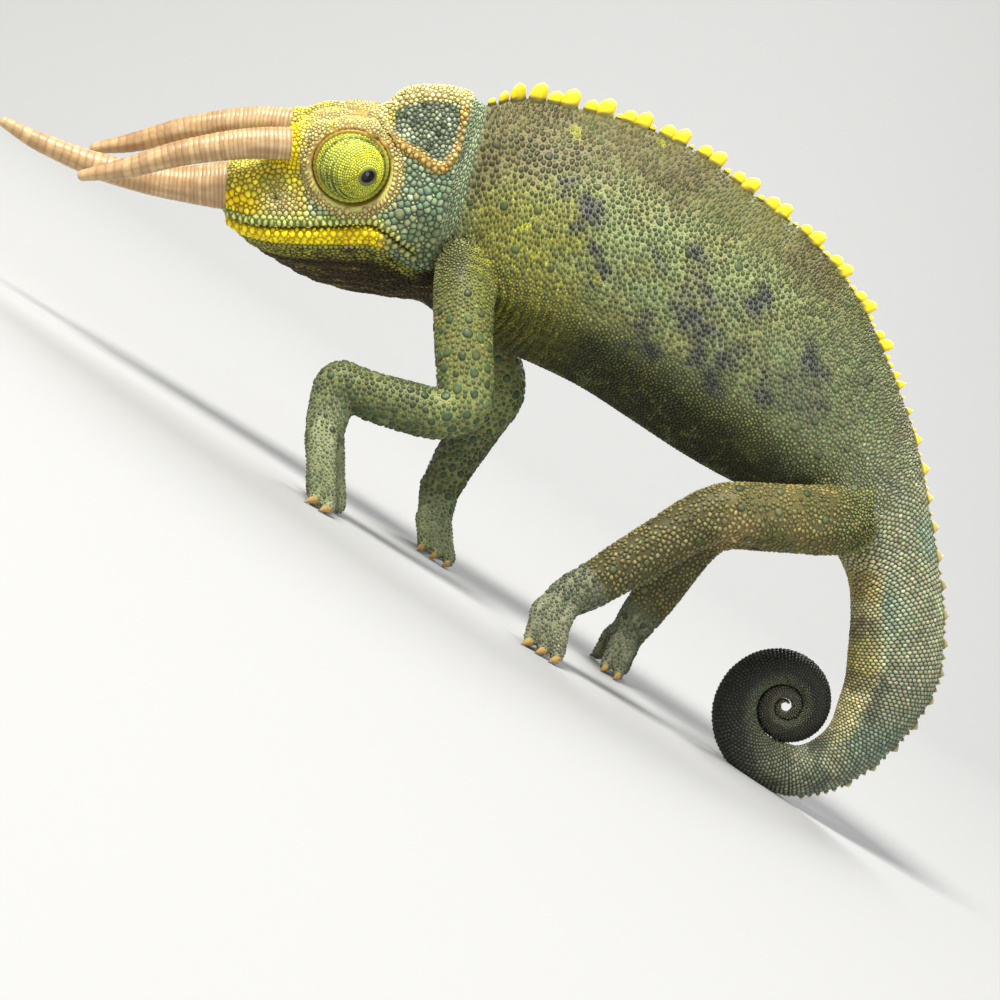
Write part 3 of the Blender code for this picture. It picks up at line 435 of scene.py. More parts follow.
def read_normals(mesh):
    """All vertex normals of a mesh as an array."""
    normals = np.empty(len(mesh.vertices) * 3)
    mesh.vertex_normals.foreach_get("vector", normals)
    return normals.reshape(-1, 3)


def relax(mesh, rounds, where=None):
    """Smooth by moving each point half way to its neighbours' mean and nearly as far back,
    so that the form keeps its size."""
    edges = np.empty(len(mesh.edges) * 2, dtype=np.int64)
    mesh.edges.foreach_get("vertices", edges)
    edges = edges.reshape(-1, 2)
    points = read_points(mesh)
    count = np.bincount(edges.ravel(), minlength=len(points))[:, None]
    share = 1.0 if where is None else where[:, None]
    for k in range(2 * rounds):
        total = np.zeros_like(points)
        for axis in range(3):
            total[:, axis] = (np.bincount(edges[:, 0], points[edges[:, 1], axis], len(points))
                              + np.bincount(edges[:, 1], points[edges[:, 0], axis], len(points)))
        step = 0.5 if k % 2 == 0 else -0.46
        points = points + step * share * (total / np.maximum(count, 1) - points)
    write_points(mesh, points)


def line_distance(points, line):
    """Distance in the side plane from each point to the nearest stretch of a smooth line."""
    dense = smooth(line, np.linspace(0, len(line) - 1, 12 * (len(line) - 1) + 1))
    best = np.full(len(points), 1e9)
    for a, b in zip(dense[:-1], dense[1:]):
        run = b - a
        share = np.clip(((points[:, :2] - a) @ run) / max(run @ run, 1e-9), 0, 1)
        best = np.minimum(best, np.hypot(*(points[:, :2] - a - share[:, None] * run).T))
    return best


def cloud(points, size, seed, layers=2):
    """Soft random field from 0 to 1: values at the corners of cells, blended smoothly,
    with finer layers added at half the strength."""
    total, weight = np.zeros(len(points)), 0.0
    for layer in range(layers):
        place = points / (size / 2 ** layer) + 17.3 * (seed + 3 * layer)
        cell = np.floor(place).astype(np.int64)
        f = place - cell
        f = f * f * (3 - 2 * f)
        value = np.zeros(len(points))
        for corner in range(8):
            shift = np.array([corner & 1, corner >> 1 & 1, corner >> 2 & 1])
            i, j, k = (cell + shift).T
            mixed = (i * 73856093) ^ (j * 19349663) ^ (k * 83492791) ^ (seed * 7919)
            mixed = (mixed ^ (mixed >> 13)) * 1274126177 & 0xFFFFFFFF
            mixed = (mixed ^ (mixed >> 16)) & 0xFFFF
            share = np.prod(np.where(shift, f, 1 - f), axis=1)
            value += share * mixed / 0xFFFF
        total += value * 0.5 ** layer
        weight += 0.5 ** layer
    return total / weight


def toe_paths(leg, outward):
    """Centre lines of the two bundles of toes, with the root and aim of each claw."""
    root, high = (np.array(leg["limb"][k][:3]) for k in (-1, -2))
    tip = math.radians(FLOOR_TIP)
    forward = np.array([-math.cos(tip), math.sin(tip), 0.0])
    upward = np.array([math.sin(tip), math.cos(tip), 0.0])
    ground = np.array([leg["foot"][0], floor_w(leg["foot"][0]), leg["foot"][1]])
    toes, claws = [], []
    for bundle, count in zip((1, -1), leg["toes"]):
        side = np.array([0.0, 0.0, outward * bundle])
        for k in range(count):
            place = (k - (count - 1) / 2) * TOE_STEP
            start = high + side * TOE_ROOT + forward * place * 0.5
            knuckle = root + side * TOE_SPREAD * 0.72 + forward * place * 0.85
            heel = ground + side * TOE_SPREAD + forward * place + upward * HEEL_HEIGHT
            middle = (knuckle + heel) / 2 + side * 0.5
            end = ground + side * (TOE_SPREAD + TOE_TIP) + forward * place + upward * TIP_HEIGHT
            toes.append([(*point, TOE_RADIUS * share)
                         for point, share in zip((start, knuckle, middle, heel, end), TOE_SHARES)])
            aim = unit(side * 0.9 + forward * (0.55 if bundle == 1 else 0.25))
            claws.append((end + upward * 0.2, aim))
    return toes, claws


def side_of(leg_name):
    """Direction of a leg from the body: -1 for left and 1 for right."""
    return -1 if leg_name.endswith("left") else 1


def head_forms(home):
    """Swellings and hollows of the head, along the normal, from distances in its side
    plane: each line adds height times exp(-(distance / width) squared)."""
    def rise(line, height, width):
        return height * np.exp(-(line_distance(home, line) / width) ** 2)

    def spot(u, w, height, width):
        away = np.hypot(home[:, 0] - u, home[:, 1] - w)
        return height * np.exp(-(away / width) ** 2)

    u, w = home[:, 0], home[:, 1]
    upper = [(a, b + 1.15) for a, b in MOUTH_LINE]
    lower = [(a, b - 1.25) for a, b in MOUTH_LINE]
    lift = rise(upper, 0.5, 0.75) + rise(lower, 0.7, 0.85) + rise(MOUTH_LINE, -0.8, 0.32)
    lift += rise(EYE_RIM, 0.55, 0.95)
    lift += rise(LATERAL_CREST, 0.75, 0.85) + rise(TEMPORAL_CREST, 1.0, 0.8)
    lift += spot(-4.0, 14.4, -0.7, 3.2) + spot(-6.5, 3.0, 0.5, 4.0)
    lift += spot(NOSTRIL[0], NOSTRIL[1], -1.3, 0.6) + spot(NOSTRIL[0], NOSTRIL[1], 0.35, 1.7)
    lift += rise(((-26.5, 7.6), (-31.0, 6.0), (-36.5, 5.2)), 0.45, 0.9)
    throat = ease(-w, 5.0, 8.0) * ease(-u, 7.0, 11.0)
    depth_below = np.interp(u, *zip(*sorted(MOUTH_LINE))) - w
    lift += throat * 0.14 * np.sin(2 * math.pi * (depth_below - 0.06 * u) / 1.7)
    slanted = neck_place(home)
    nape = ease(slanted, -0.5, 1.5) * (1 - ease(slanted, 5.0, 7.0)) * ease(w, -8.0, -3.0)
    lift += nape * 0.13 * np.sin(2 * math.pi * slanted / 2.3)
    return lift


def eye_cups():
    """Cups of flesh for the eyes, to be joined to the head: each turns about the side
    axis, with a rounded rim that hoods the turret, a little lower above."""
    profile = smooth(CUP_OUTLINE, np.linspace(0, len(CUP_OUTLINE) - 1, 30))
    turn = turns(96)
    above = np.clip(np.sin(turn), 0, 1)
    cups = []
    for side in (-1, 1):
        out = profile[:, :1] * (1 - HOODS[side] * above)
        lift = profile[:, 1:] - 0.75 * above * ease(profile[:, 1:], -1.0, 1.0)
        cups.append(head_to_floor(np.stack([
            EYE_CENTRE[0] + out * np.cos(turn), EYE_CENTRE[1] + out * np.sin(turn),
            side * (EYE_CENTRE[2] + lift)], axis=-1)))
    return cups


def eye_reach(home):
    """Distance in the side plane from the middle of the eye, longer above it, so that
    what is drawn by this distance comes lower there."""
    u, w = home[:, 0] - EYE_CENTRE[0], home[:, 1] - EYE_CENTRE[1]
    away = np.maximum(np.hypot(u, w), 1e-6)
    hood = np.where(home[:, 2] < 0, HOODS[-1], HOODS[1])
    return away / (1 - hood * np.clip(w / away, 0, 1))


def sink_for_eyes(home):
    """Push the skin in behind each turret, so that a narrow crevice runs round it."""
    moved = home.copy()
    away = eye_reach(home)
    floor = EYE_CENTRE[2] - 0.8 + 8.0 * ease(away, SOCKET_RADIUS - 0.15, SOCKET_RADIUS + 0.35)
    moved[:, 2] = np.sign(home[:, 2]) * np.minimum(np.abs(home[:, 2]), floor)
    return moved


def reference_charts():
    """Dense points of every strand with their places on it: a ladder place round the
    body, a share along each limb, and 1 plus a share along each toe."""
    def chart(grid, strand, along, tube, to_floor):
        rings, sides = grid.shape[:2]
        points = to_floor(grid)
        flow = unit(np.gradient(points.mean(axis=1), axis=0))
        turn = turns(sides)
        blocks.append(np.column_stack([
            points.reshape(-1, 3), np.full(rings * sides, strand),
            np.repeat(along, sides), np.tile(np.cos(turn), rings),
            np.tile(np.sin(turn), rings), np.full(rings * sides, tube),
            np.repeat(flow, sides, axis=0)]))

    blocks = []
    places = np.linspace(0, LADDER_END, 1300)
    chart(body_grid(places, 80), BODY, places, 0, head_to_floor)
    for strand, (name, leg) in enumerate(LEGS.items(), FIRST_LEG):
        chart(tube_grid(leg["limb"], 150, 28, LIMB_FLAT), strand, np.linspace(0, 1, 150), 0,
              stand_up)
        for number, toe in enumerate(toe_paths(leg, side_of(name))[0], 1):
            chart(tube_grid(toe, 36, 12), strand, 1 + np.linspace(0, 1, 36), number, stand_up)
    return np.vstack(blocks)


def chart_points(points):
    """For each point its strand, place along it, cosine and sine round it, tube, flow."""
    table = reference_charts()
    tree = point_tree(table[:, :3])
    nearest = [tree.find(point)[1] for point in points.tolist()]
    return table[nearest, 3:]


def skin_mesh(sizes):
    """Trunk, legs and toes remeshed into one skin, the head's forms pressed into it, and
    the coil of the tail joined on."""
    depth = sizes.coat_depth / MM
    trunk = head_to_floor(body_grid(np.linspace(0, TRUNK_END, TRUNK_RINGS), RING_SIDES, depth))
    grids = [trunk]
    for name, leg in LEGS.items():
        grids.append(stand_up(tube_grid(leg["limb"], LIMB_RINGS, 32, LIMB_FLAT, -depth)))
        for toe in toe_paths(leg, side_of(name))[0]:
            end, before = np.array(toe[-1]), np.array(toe[-2])
            tip = end + 0.22 * (end - before)
            tip[3] = end[3] * 0.45
            grids.append(stand_up(tube_grid([*toe, tip], 30, 16, grow=-TOE_THIN)))
    grids += horn_sleeves() + eye_cups()
    skin = add_mesh("skin", *join_rings(grids))
    apply_modifier(skin, "REMESH", mode="VOXEL", voxel_size=sizes.voxel / MM)
    relax(skin.data, RELAX_ROUNDS)
    refine_head(skin)
    points = read_points(skin.data)
    on_head = head_share(points)
    relax(skin.data, 4, where=on_head)
    points = read_points(skin.data)
    lift = head_forms(unroll_head(lie_down(points))) * on_head
    points = points + read_normals(skin.data) * lift[:, None]
    home = unroll_head(lie_down(points))
    sunk = head_to_floor(sink_for_eyes(home))
    write_points(skin.data, points + (sunk - points) * (on_head > 0.5)[:, None])
    coil = add_mesh("coil", *closed_grid(head_to_floor(body_grid(
        np.linspace(COIL_FROM, LADDER_END, COIL_RINGS), 56, depth))))
    face_outwards(coil)
    apply_modifier(skin, "BOOLEAN", operation="UNION", object=coil, solver="MANIFOLD")
    bpy.data.objects.remove(coil)
    faces = sum(len(face.vertices) - 2 for face in skin.data.polygons)
    if faces > SKIN_TRIANGLES:
        apply_modifier(skin, "DECIMATE", ratio=SKIN_TRIANGLES / faces)
    points = read_points(skin.data)
    points[:, 2] = np.maximum(points[:, 2], FLOOR_CLEAR)
    write_points(skin.data, points)
    return skin


def horn_sleeves():
    """Tubes of skin round the roots of the horns, a little wider than each horn, and the
    ridges of the brow behind them."""
    sleeves = []
    for table, side, stop, thick in ((ROSTRAL_HORN, 1, 0.84, 1.0), (BROW_HORN, -1, 0.84, 1.0),
                                     (BROW_HORN, 1, 1.00, 0.35)):
        path = smooth(np.array(table) * (1, 1, side, 1), np.linspace(0, stop, 8))
        path[:, 3] += thick * np.array((0.75, 0.75, 0.75, 0.70, 0.65, 0.60, 0.50, 0.20))
        sleeves.append(head_to_floor(tube_grid(path, 30, 28)))
    for side in (-1, 1):
        path = np.array(BROW_RIDGE) * (1, 1, side, 1)
        sleeves.append(head_to_floor(tube_grid(path, 30, 24)))
    return sleeves


def head_share(points):
    """1 on the head and throat, 0 on the legs and behind the neck, soft between."""
    home = unroll_head(lie_down(points))
    share = (1 - ease(neck_place(home), 6.5, 9.0)) * ease(home[:, 1], -21.0, -19.0)
    return share * (chart_points(points)[:, 0] == BODY)


def refine_head(skin):
    """Halve the mesh size over the head, where the forms are smallest."""
    bm = bmesh.new()
    bm.from_mesh(skin.data)
    inside = head_share(np.array([v.co[:] for v in bm.verts])) > 0.4
    edges = [e for e in bm.edges if inside[e.verts[0].index] and inside[e.verts[1].index]]
    bmesh.ops.subdivide_edges(bm, edges=edges, cuts=1, use_grid_fill=True)
    bmesh.ops.triangulate(bm, faces=[f for f in bm.faces if len(f.verts) > 4])
    bm.to_mesh(skin.data)
    bm.free()


def paint(red, green, blue):
    """Linear colour from the red, green and blue that a screen shows."""
    shown = np.array([red, green, blue])
    return np.where(shown <= 0.04045, shown / 12.92, ((shown + 0.055) / 1.055) ** 2.4)


WIDEST = 1.3                # widest spacing of scales that are not large ones

# Dark blotches of the left flank and tail, as u, w and radius; the right side has its like
BLOTCHES = ((42.0, -18.6, 3.6), (51.1, -17.7, 2.7), (44.6, -28.0, 4.2), (53.6, -33.8, 2.4),
            (60.4, -33.8, 3.6), (62.1, -29.0, 2.4), (24.5, -1.8, 1.9), (21.0, -5.3, 1.8),
            (24.0, -9.6, 1.9), (26.3, -13.3, 1.7), (75.8, -50.6, 3.0), (81.5, -69.8, 2.8),
            (74.4, -60.0, 2.0), (33.0, -26.0, 2.2), (36.5, -12.0, 1.6), (20.0, 1.3, 1.6),
            (26.6, -0.9, 1.5), (42.1, -11.2, 2.0), (32.5, -22.3, 2.2), (69.3, -32.6, 1.8))
# Upper and lower edge of the dark patch on the casque's side, by place along the head
PATCH_U = (-12.8, -9.4, -7.4, -4.8, -1.6, 1.0, 2.6)
PATCH_LOW = (14.0, 13.2, 12.3, 10.8, 8.8, 10.4, 13.6)
PATCH_HIGH = (14.9, 17.6, 18.9, 19.4, 19.4, 19.0, 18.4)
INNER_BANDS = ((-66.5, 1.6, (0.60, 0.50, 0.18)), (-74.6, 1.4, (0.16, 0.13, 0.07)),
               (-79.5, 1.9, (0.52, 0.47, 0.16)), (-83.8, 1.0, (0.18, 0.15, 0.08)))


def lay(colours, mask, colour):
    """Lay one colour over others by a mask."""
    return colours + (colour - colours) * np.clip(mask, 0, 1)[:, None]


class Marks:
    """Colours of the scales and of the skin between them, laid one over another."""

    def __init__(self, count, scale, gap):
        self.scale, self.gap = (np.tile(paint(*colour), (count, 1)) for colour in (scale, gap))

    def lay(self, mask, scale=None, gap=None):
        """Lay screen colours on the scales, on the skin between or on both by a mask."""
        if scale:
            self.scale = lay(self.scale, mask, paint(*scale))
        if gap:
            self.gap = lay(self.gap, mask, paint(*gap))


def near_spot(home, u, w, radius, soft=0.5):
    """Mask of a round spot in the side plane, soft at its edge."""
    away = np.hypot(home[:, 0] - u, home[:, 1] - w) / radius
    return 1 - ease(away, 1 - soft, 1 + soft)


def head_zones(home):
    """Masks of the head's parts, each from lines and places in its side plane."""
    u, w = home[:, 0], home[:, 1]
    mouth_w = np.interp(u, *zip(*sorted(MOUTH_LINE)))
    rim = line_distance(home, EYE_RIM)
    crest = np.minimum(line_distance(home, TEMPORAL_CREST), 9)
    top_line = np.interp(u, (-39, -30, -26, -20.6, -16.4, -12.2, -9.4, -4, 4),
                         (4.6, 8.2, 11.0, 15.0, 15.9, 14.9, 15.2, 18.0, 18.0))
    slanted = neck_place(home)
    horn_end = np.where(home[:, 2] < 0, -26.8, -28.6)
    return {
        "lip_up": (w > mouth_w) * (1 - ease(w - mouth_w, 1.9, 2.7)) * ease(-u, 7.5, 9.5),
        "lip_low": (w <= mouth_w) * (1 - ease(mouth_w - w, 2.9, 3.7)) * ease(-u, 9.5, 12.5),
        "throat": ease(mouth_w - w, 3.0, 4.2) * ease(-u - 0.25 * w, 1.0, 6.5),
        "jaw_edge": (1 - ease(np.abs(mouth_w - w - 4.6), 0.7, 2.2)) * ease(-u, 4.5, 7.0),
        "top": ease(w - top_line, -0.9, 0.4),
        "rim": 1 - ease(rim, 0.9, 1.8),
        "socket": 1 - ease(eye_reach(home), SOCKET_RADIUS + RIM_WIDTH - 0.2,
                           SOCKET_RADIUS + RIM_WIDTH + 0.3),
        "crest": 1 - ease(crest, 0.6, 1.15),
        "patch": ease(w - np.interp(u, PATCH_U, PATCH_LOW), 0.5, 1.2)
        * ease(np.interp(u, PATCH_U, PATCH_HIGH) - w, 0.5, 1.2)
        * ease(u, -9.6, -8.6) * (1 - ease(u, 1.6, 2.3)),
        "casque": ease(w - np.interp(u, PATCH_U, PATCH_HIGH), -1.2, -0.4) * ease(u, -13.5, -11.0),
        "snout": ease(-u, 23.0, 26.0) * (w > mouth_w),
        "nose": 1 - ease(np.hypot(u + 36.3, 1.2 * (w - 1.0)), 2.2, 4.4),
        "nostril": near_spot(home, -28.6, 2.0, 3.2, 0.6),
        "nape": ease(slanted, -1.4, -0.6) * (1 - ease(slanted, 1.2, 2.8)) * ease(w, -7.0, 0.0),
        "collar": (1 - ease(u - horn_end, 1.2, 2.2)) * ease(w, 7.6, 8.6),
    }


# Colours of the head's zones in the order they are laid: zone, scale and skin between
HEAD_COLOURS = (
    ("snout", (0.92, 0.84, 0.24), (0.56, 0.50, 0.12)),
    ("nostril", (0.76, 0.72, 0.46), (0.50, 0.45, 0.26)),
    ("nose", (0.98, 0.84, 0.02), (0.60, 0.48, 0.02)),
    ("top", (0.84, 0.80, 0.36), (0.50, 0.45, 0.16)),
    ("lip_up", (0.76, 0.78, 0.44), (0.40, 0.44, 0.20)),
    ("rim", (0.76, 0.71, 0.46), (0.50, 0.44, 0.24)),
    ("patch", (0.44, 0.48, 0.38), (0.30, 0.32, 0.25)),
    ("casque", (0.83, 0.79, 0.53), (0.52, 0.46, 0.26)),
    ("crest", (0.78, 0.66, 0.36), (0.52, 0.41, 0.19)),
    ("collar", (0.98, 0.87, 0.04), (0.70, 0.56, 0.02)))


def markings(home, chart):
    """Colours of the scales and of the skin between them, from the place alone."""
    strand, tube = chart[:, 0], chart[:, 4]
    body = strand == BODY
    share = chart[:, 1]                                  # along a leg, if it is on one
    along = np.where(body, share, np.where(strand <= 2, 17.0, 20.5))
    level = np.where(body, -chart[:, 2], -0.1)
    u, w = home[:, 0], home[:, 1]
    broad, middling, fine = cloud(home, 13.0, 1), cloud(home, 4.5, 2), cloud(home, 1.5, 3)
    ragged = 0.45 * (middling - 0.5)
    marks = Marks(len(home), (0.44, 0.45, 0.25), (0.19, 0.19, 0.10))

    rise = level + ragged - 0.05 * (along - 15.5)
    upper = ease(rise, 0.24, 0.56) * body
    meshed = body * (1 - ease(-level + ragged, 0.25, 0.60))
    marks.lay(meshed, (0.27, 0.29, 0.17), (0.57, 0.57, 0.36))
    marks.lay(upper, (0.33, 0.32, 0.18), (0.46, 0.43, 0.27))
    marks.lay(upper * ease(middling + 0.3 * (fine - 0.5), 0.40, 0.72), (0.23, 0.23, 0.13))
    marks.lay(0.6 * upper * ease(broad + 0.4 * (fine - 0.5), 0.50, 0.70), (0.36, 0.41, 0.19))
    marks.lay(0.4 * ease(fine, 0.50, 0.75) * (1 - upper), (0.52, 0.54, 0.31))
    lower = ease(-level + ragged, 0.30, 0.80)
    marks.lay(lower, (0.21, 0.20, 0.08))
    marks.lay(0.6 * lower * ease(fine, 0.55, 0.7), (0.40, 0.42, 0.20))
    # Near-black skin between the lower body's granules: partly its own dark colour, partly painted
    # shade between them
    marks.lay(lower, gap=(0.06, 0.06, 0.03))
    arc = np.hypot(u - 3.5, w + 16.0)
    folds = 0.5 + 0.5 * np.sin(2 * math.pi * (arc + 0.8 * middling) / 1.5)
    shoulder = near_spot(home, 9.5, -12.0, 14.0, 0.6) * (1 - 0.8 * upper) * ease(u, 2.0, 6.0)
    marks.lay(shoulder * folds * (0.2 + 0.5 * fine), (0.56, 0.54, 0.16))
    marks.lay(shoulder * (0.25 + 0.65 * folds), gap=(0.70, 0.69, 0.22))
    # Painted shade in the creases between the shoulder's folds; the yellow on the folds is the
    # skin's own
    marks.lay(0.6 * shoulder * (1 - folds), gap=(0.24, 0.23, 0.10))
    green = near_spot(home, 41.0, -12.0, 22.0, 0.6) * ease(middling, 0.30, 0.6) * (1 - upper)
    marks.lay(0.55 * green, (0.31, 0.36, 0.22))
    marks.lay(0.8 * green * (1 - lower), gap=(0.56, 0.61, 0.41))
    rump = near_spot(home, 66.0, -36.0, 16.0, 0.6) * body
    marks.lay(0.8 * rump * ease(broad, 0.25, 0.5), (0.38, 0.42, 0.29))
    marks.lay(0.6 * rump, gap=(0.42, 0.44, 0.31))
    torn = home + 9.0 * np.column_stack([middling - 0.5, cloud(home, 4.0, 8) - 0.5, 0 * u]) \
        + 4.0 * (fine - 0.5)[:, None]
    net = ease(cloud(home, 2.4, 15, 1), 0.30, 0.65)
    for bu, bw, radius in BLOTCHES:
        dark = near_spot(torn, bu, bw, 1.15 * radius, 0.45) * body * (0.45 + 0.9 * net)
        marks.lay(0.85 * dark, (0.15, 0.16, 0.14), (0.38, 0.39, 0.34))
    sparkle = ease(cloud(home, 3.0, 9, 1), 0.86, 0.94) * body * (1 - lower)
    marks.lay(0.5 * sparkle, (0.60, 0.60, 0.16))
    marks.lay(0.6 * sparkle, gap=(0.76, 0.76, 0.24))

    tail = ease(along, 22.5, 25.5) * body
    marks.lay(tail, (0.58, 0.59, 0.46), (0.28, 0.29, 0.21))
    marks.lay(tail * ease(broad, 0.45, 0.7), (0.46, 0.52, 0.43))
    marks.lay(tail * 0.8 * ease(middling + 0.3 * (broad - 0.5) + 0.15 * (fine - 0.5), 0.52, 0.68),
              (0.26, 0.28, 0.23))
    marks.lay(0.35 * tail * ease(along, 26.0, 29.0), (0.34, 0.37, 0.32))
    marks.lay(0.6 * tail * near_spot(home, 71.0, -72.0, 7.0, 0.5), (0.48, 0.60, 0.52))
    inner = tail * ease(-level, 0.25, 0.6) * (1 - ease(along, 29.5, 31.0))
    # The pale inner side of the tail is partly its own colour and partly painted sheen
    marks.lay(0.8 * inner, (0.74, 0.71, 0.50))
    for band_w, half, colour in INNER_BANDS:
        marks.lay(0.55 * inner * (1 - ease(np.abs(w - band_w), half, 2.4 * half)), colour)
    coil = ease(along, 31.5, 35.5) * body
    # The coil is dark partly in its own colour and partly as painted shadow; its lower side is
    # paler
    marks.lay(coil, (0.15, 0.15, 0.11))
    marks.lay(coil * ease(-level, 0.1, 0.85), (0.36, 0.38, 0.29))
    marks.lay(0.7 * coil * ease(along, 42.0, 54.0), (0.38, 0.36, 0.28))
    marks.lay(ease(along, LADDER_END - 5.0, LADDER_END) * body, (0.56, 0.50, 0.38))
    # Near-black skin between the coil's scales, partly painted shade between them
    marks.lay(coil, gap=(0.07, 0.07, 0.05))

    front = ((strand == 1) | (strand == 2)) * ease(share + 0.10 * (fine - 0.5), 0.04, 0.18)
    hind = (strand >= 3) * ease(share + 0.10 * (fine - 0.5), 0.04, 0.20)
    marks.lay(front, (0.30, 0.35, 0.22), (0.52, 0.54, 0.30))
    marks.lay(front * 0.7 * ease(fine, 0.45, 0.75), (0.44, 0.47, 0.28))
    armpit = front * (1 - ease(share, 0.15, 0.36))
    marks.lay(armpit * (0.1 + 0.7 * fine), (0.48, 0.47, 0.20))
    marks.lay(armpit * 0.6, gap=(0.34, 0.33, 0.14))
    forearm = front * ease(share, 0.40, 0.55)
    marks.lay(0.6 * forearm, (0.20, 0.23, 0.17))
    marks.lay(0.5 * forearm, gap=(0.34, 0.35, 0.22))
    hand = front * ease(share, 0.80, 0.90)
    marks.lay(hand, (0.36, 0.40, 0.28), (0.54, 0.56, 0.40))

    marks.lay(hind, (0.40, 0.38, 0.22), (0.28, 0.26, 0.14))
    marks.lay(hind * 0.4 * ease(fine, 0.45, 0.7), (0.52, 0.50, 0.31))
    thigh = hind * (1 - ease(share, 0.30, 0.42))
    marks.lay(0.5 * thigh * ease(middling + 0.2 * fine, 0.45, 0.8), (0.60, 0.53, 0.30))
    marks.lay(0.4 * thigh * ease(1 - middling, 0.45, 0.7), (0.30, 0.33, 0.19))
    marks.lay(thigh, gap=(0.38, 0.35, 0.18))
    knee = hind * (1 - ease(np.abs(share - 0.33), 0.03, 0.10)) * ease(-chart[:, 2], -0.2, 0.5)
    marks.lay(0.55 * knee * ease(fine, 0.15, 0.6), (0.74, 0.62, 0.42))
    marks.lay(0.6 * knee, gap=(0.50, 0.42, 0.26))
    foot = hind * ease(share, 0.70, 0.78)
    marks.lay(foot, (0.30, 0.33, 0.25), (0.48, 0.48, 0.37))
    marks.lay(0.5 * (tube > 0) * ease(fine, 0.35, 0.6), (0.54, 0.55, 0.42))

    zones = head_zones(home)
    head = body * (1 - ease(neck_place(home), -1.6, -0.2))
    marks.lay(head, (0.50, 0.58, 0.45), (0.29, 0.33, 0.24))
    # Pale flecks over the head's scales: painted glints
    marks.lay(head * 0.8 * ease(fine, 0.52, 0.72), (0.68, 0.72, 0.54))
    marks.lay(head * 0.55 * near_spot(home, -3.0, -3.5, 4.0, 0.7), (0.46, 0.47, 0.26))
    for name, colour, seam in HEAD_COLOURS:
        marks.lay(head * zones[name], colour, seam)
    pale = head * ease(-u, 12.0, 20.0) * ease(fine, 0.5, 0.75)
    marks.lay(0.5 * pale * zones["top"], (0.92, 0.82, 0.12))
    brow = head * (1 - ease(eye_reach(home), SOCKET_RADIUS + 0.8, SOCKET_RADIUS + 1.7))
    marks.lay(0.6 * brow, (0.76, 0.64, 0.38))
    above = ease(w - EYE_CENTRE[1], -2.0, 3.5)
    marks.lay(head * zones["socket"], (0.72, 0.58, 0.28), (0.80, 0.78, 0.46))
    marks.lay(head * zones["socket"] * above, gap=(0.76, 0.60, 0.30))
    # Painted shade on the skin deep in the crevice round each turret
    crevice_shade = head * (1 - ease(eye_reach(home), SOCKET_RADIUS, SOCKET_RADIUS + 0.4))
    marks.lay(crevice_shade, gap=(0.52, 0.38, 0.10))
    # Pale flecks on the patch's scales: painted highlights
    marks.lay(head * zones["patch"] * ease(fine, 0.55, 0.68), (0.66, 0.70, 0.58))
    marks.lay(head * zones["patch"] * ease(1 - fine, 0.60, 0.75), (0.20, 0.23, 0.19))
    marks.lay(head * zones["snout"] * (1 - zones["nose"]) * (1 - zones["collar"])
              * 0.7 * ease(middling, 0.50, 0.70), (0.50, 0.52, 0.26))
    marks.lay(body * zones["throat"], (0.20, 0.15, 0.01), (0.09, 0.08, 0.02))
    streak = body * zones["throat"] * ease(cloud(home * (0.3, 1.6, 1.0), 1.3, 5), 0.52, 0.72)
    marks.lay(0.75 * streak, (0.44, 0.39, 0.09))
    marks.lay(head * zones["lip_low"], (0.99, 0.88, 0.04), (0.72, 0.62, 0.04))
    marks.lay(0.8 * body * zones["jaw_edge"] * ease(fine, 0.1, 0.6), (0.58, 0.57, 0.22))
    marks.lay(body * zones["nape"], (0.58, 0.63, 0.48), (0.36, 0.40, 0.30))
    corner = head * (1 - ease(line_distance(home, MOUTH_LINE[-4:]), 0.8, 1.5)) \
        * ease(u, -11.5, -10.0)
    marks.lay(0.7 * corner, (0.70, 0.67, 0.34))
    groove = head * (1 - ease(line_distance(home, MOUTH_LINE), 0.12, 0.40))
    marks.lay(0.9 * groove, gap=(0.22, 0.18, 0.03))
    return marks.scale, marks.gap


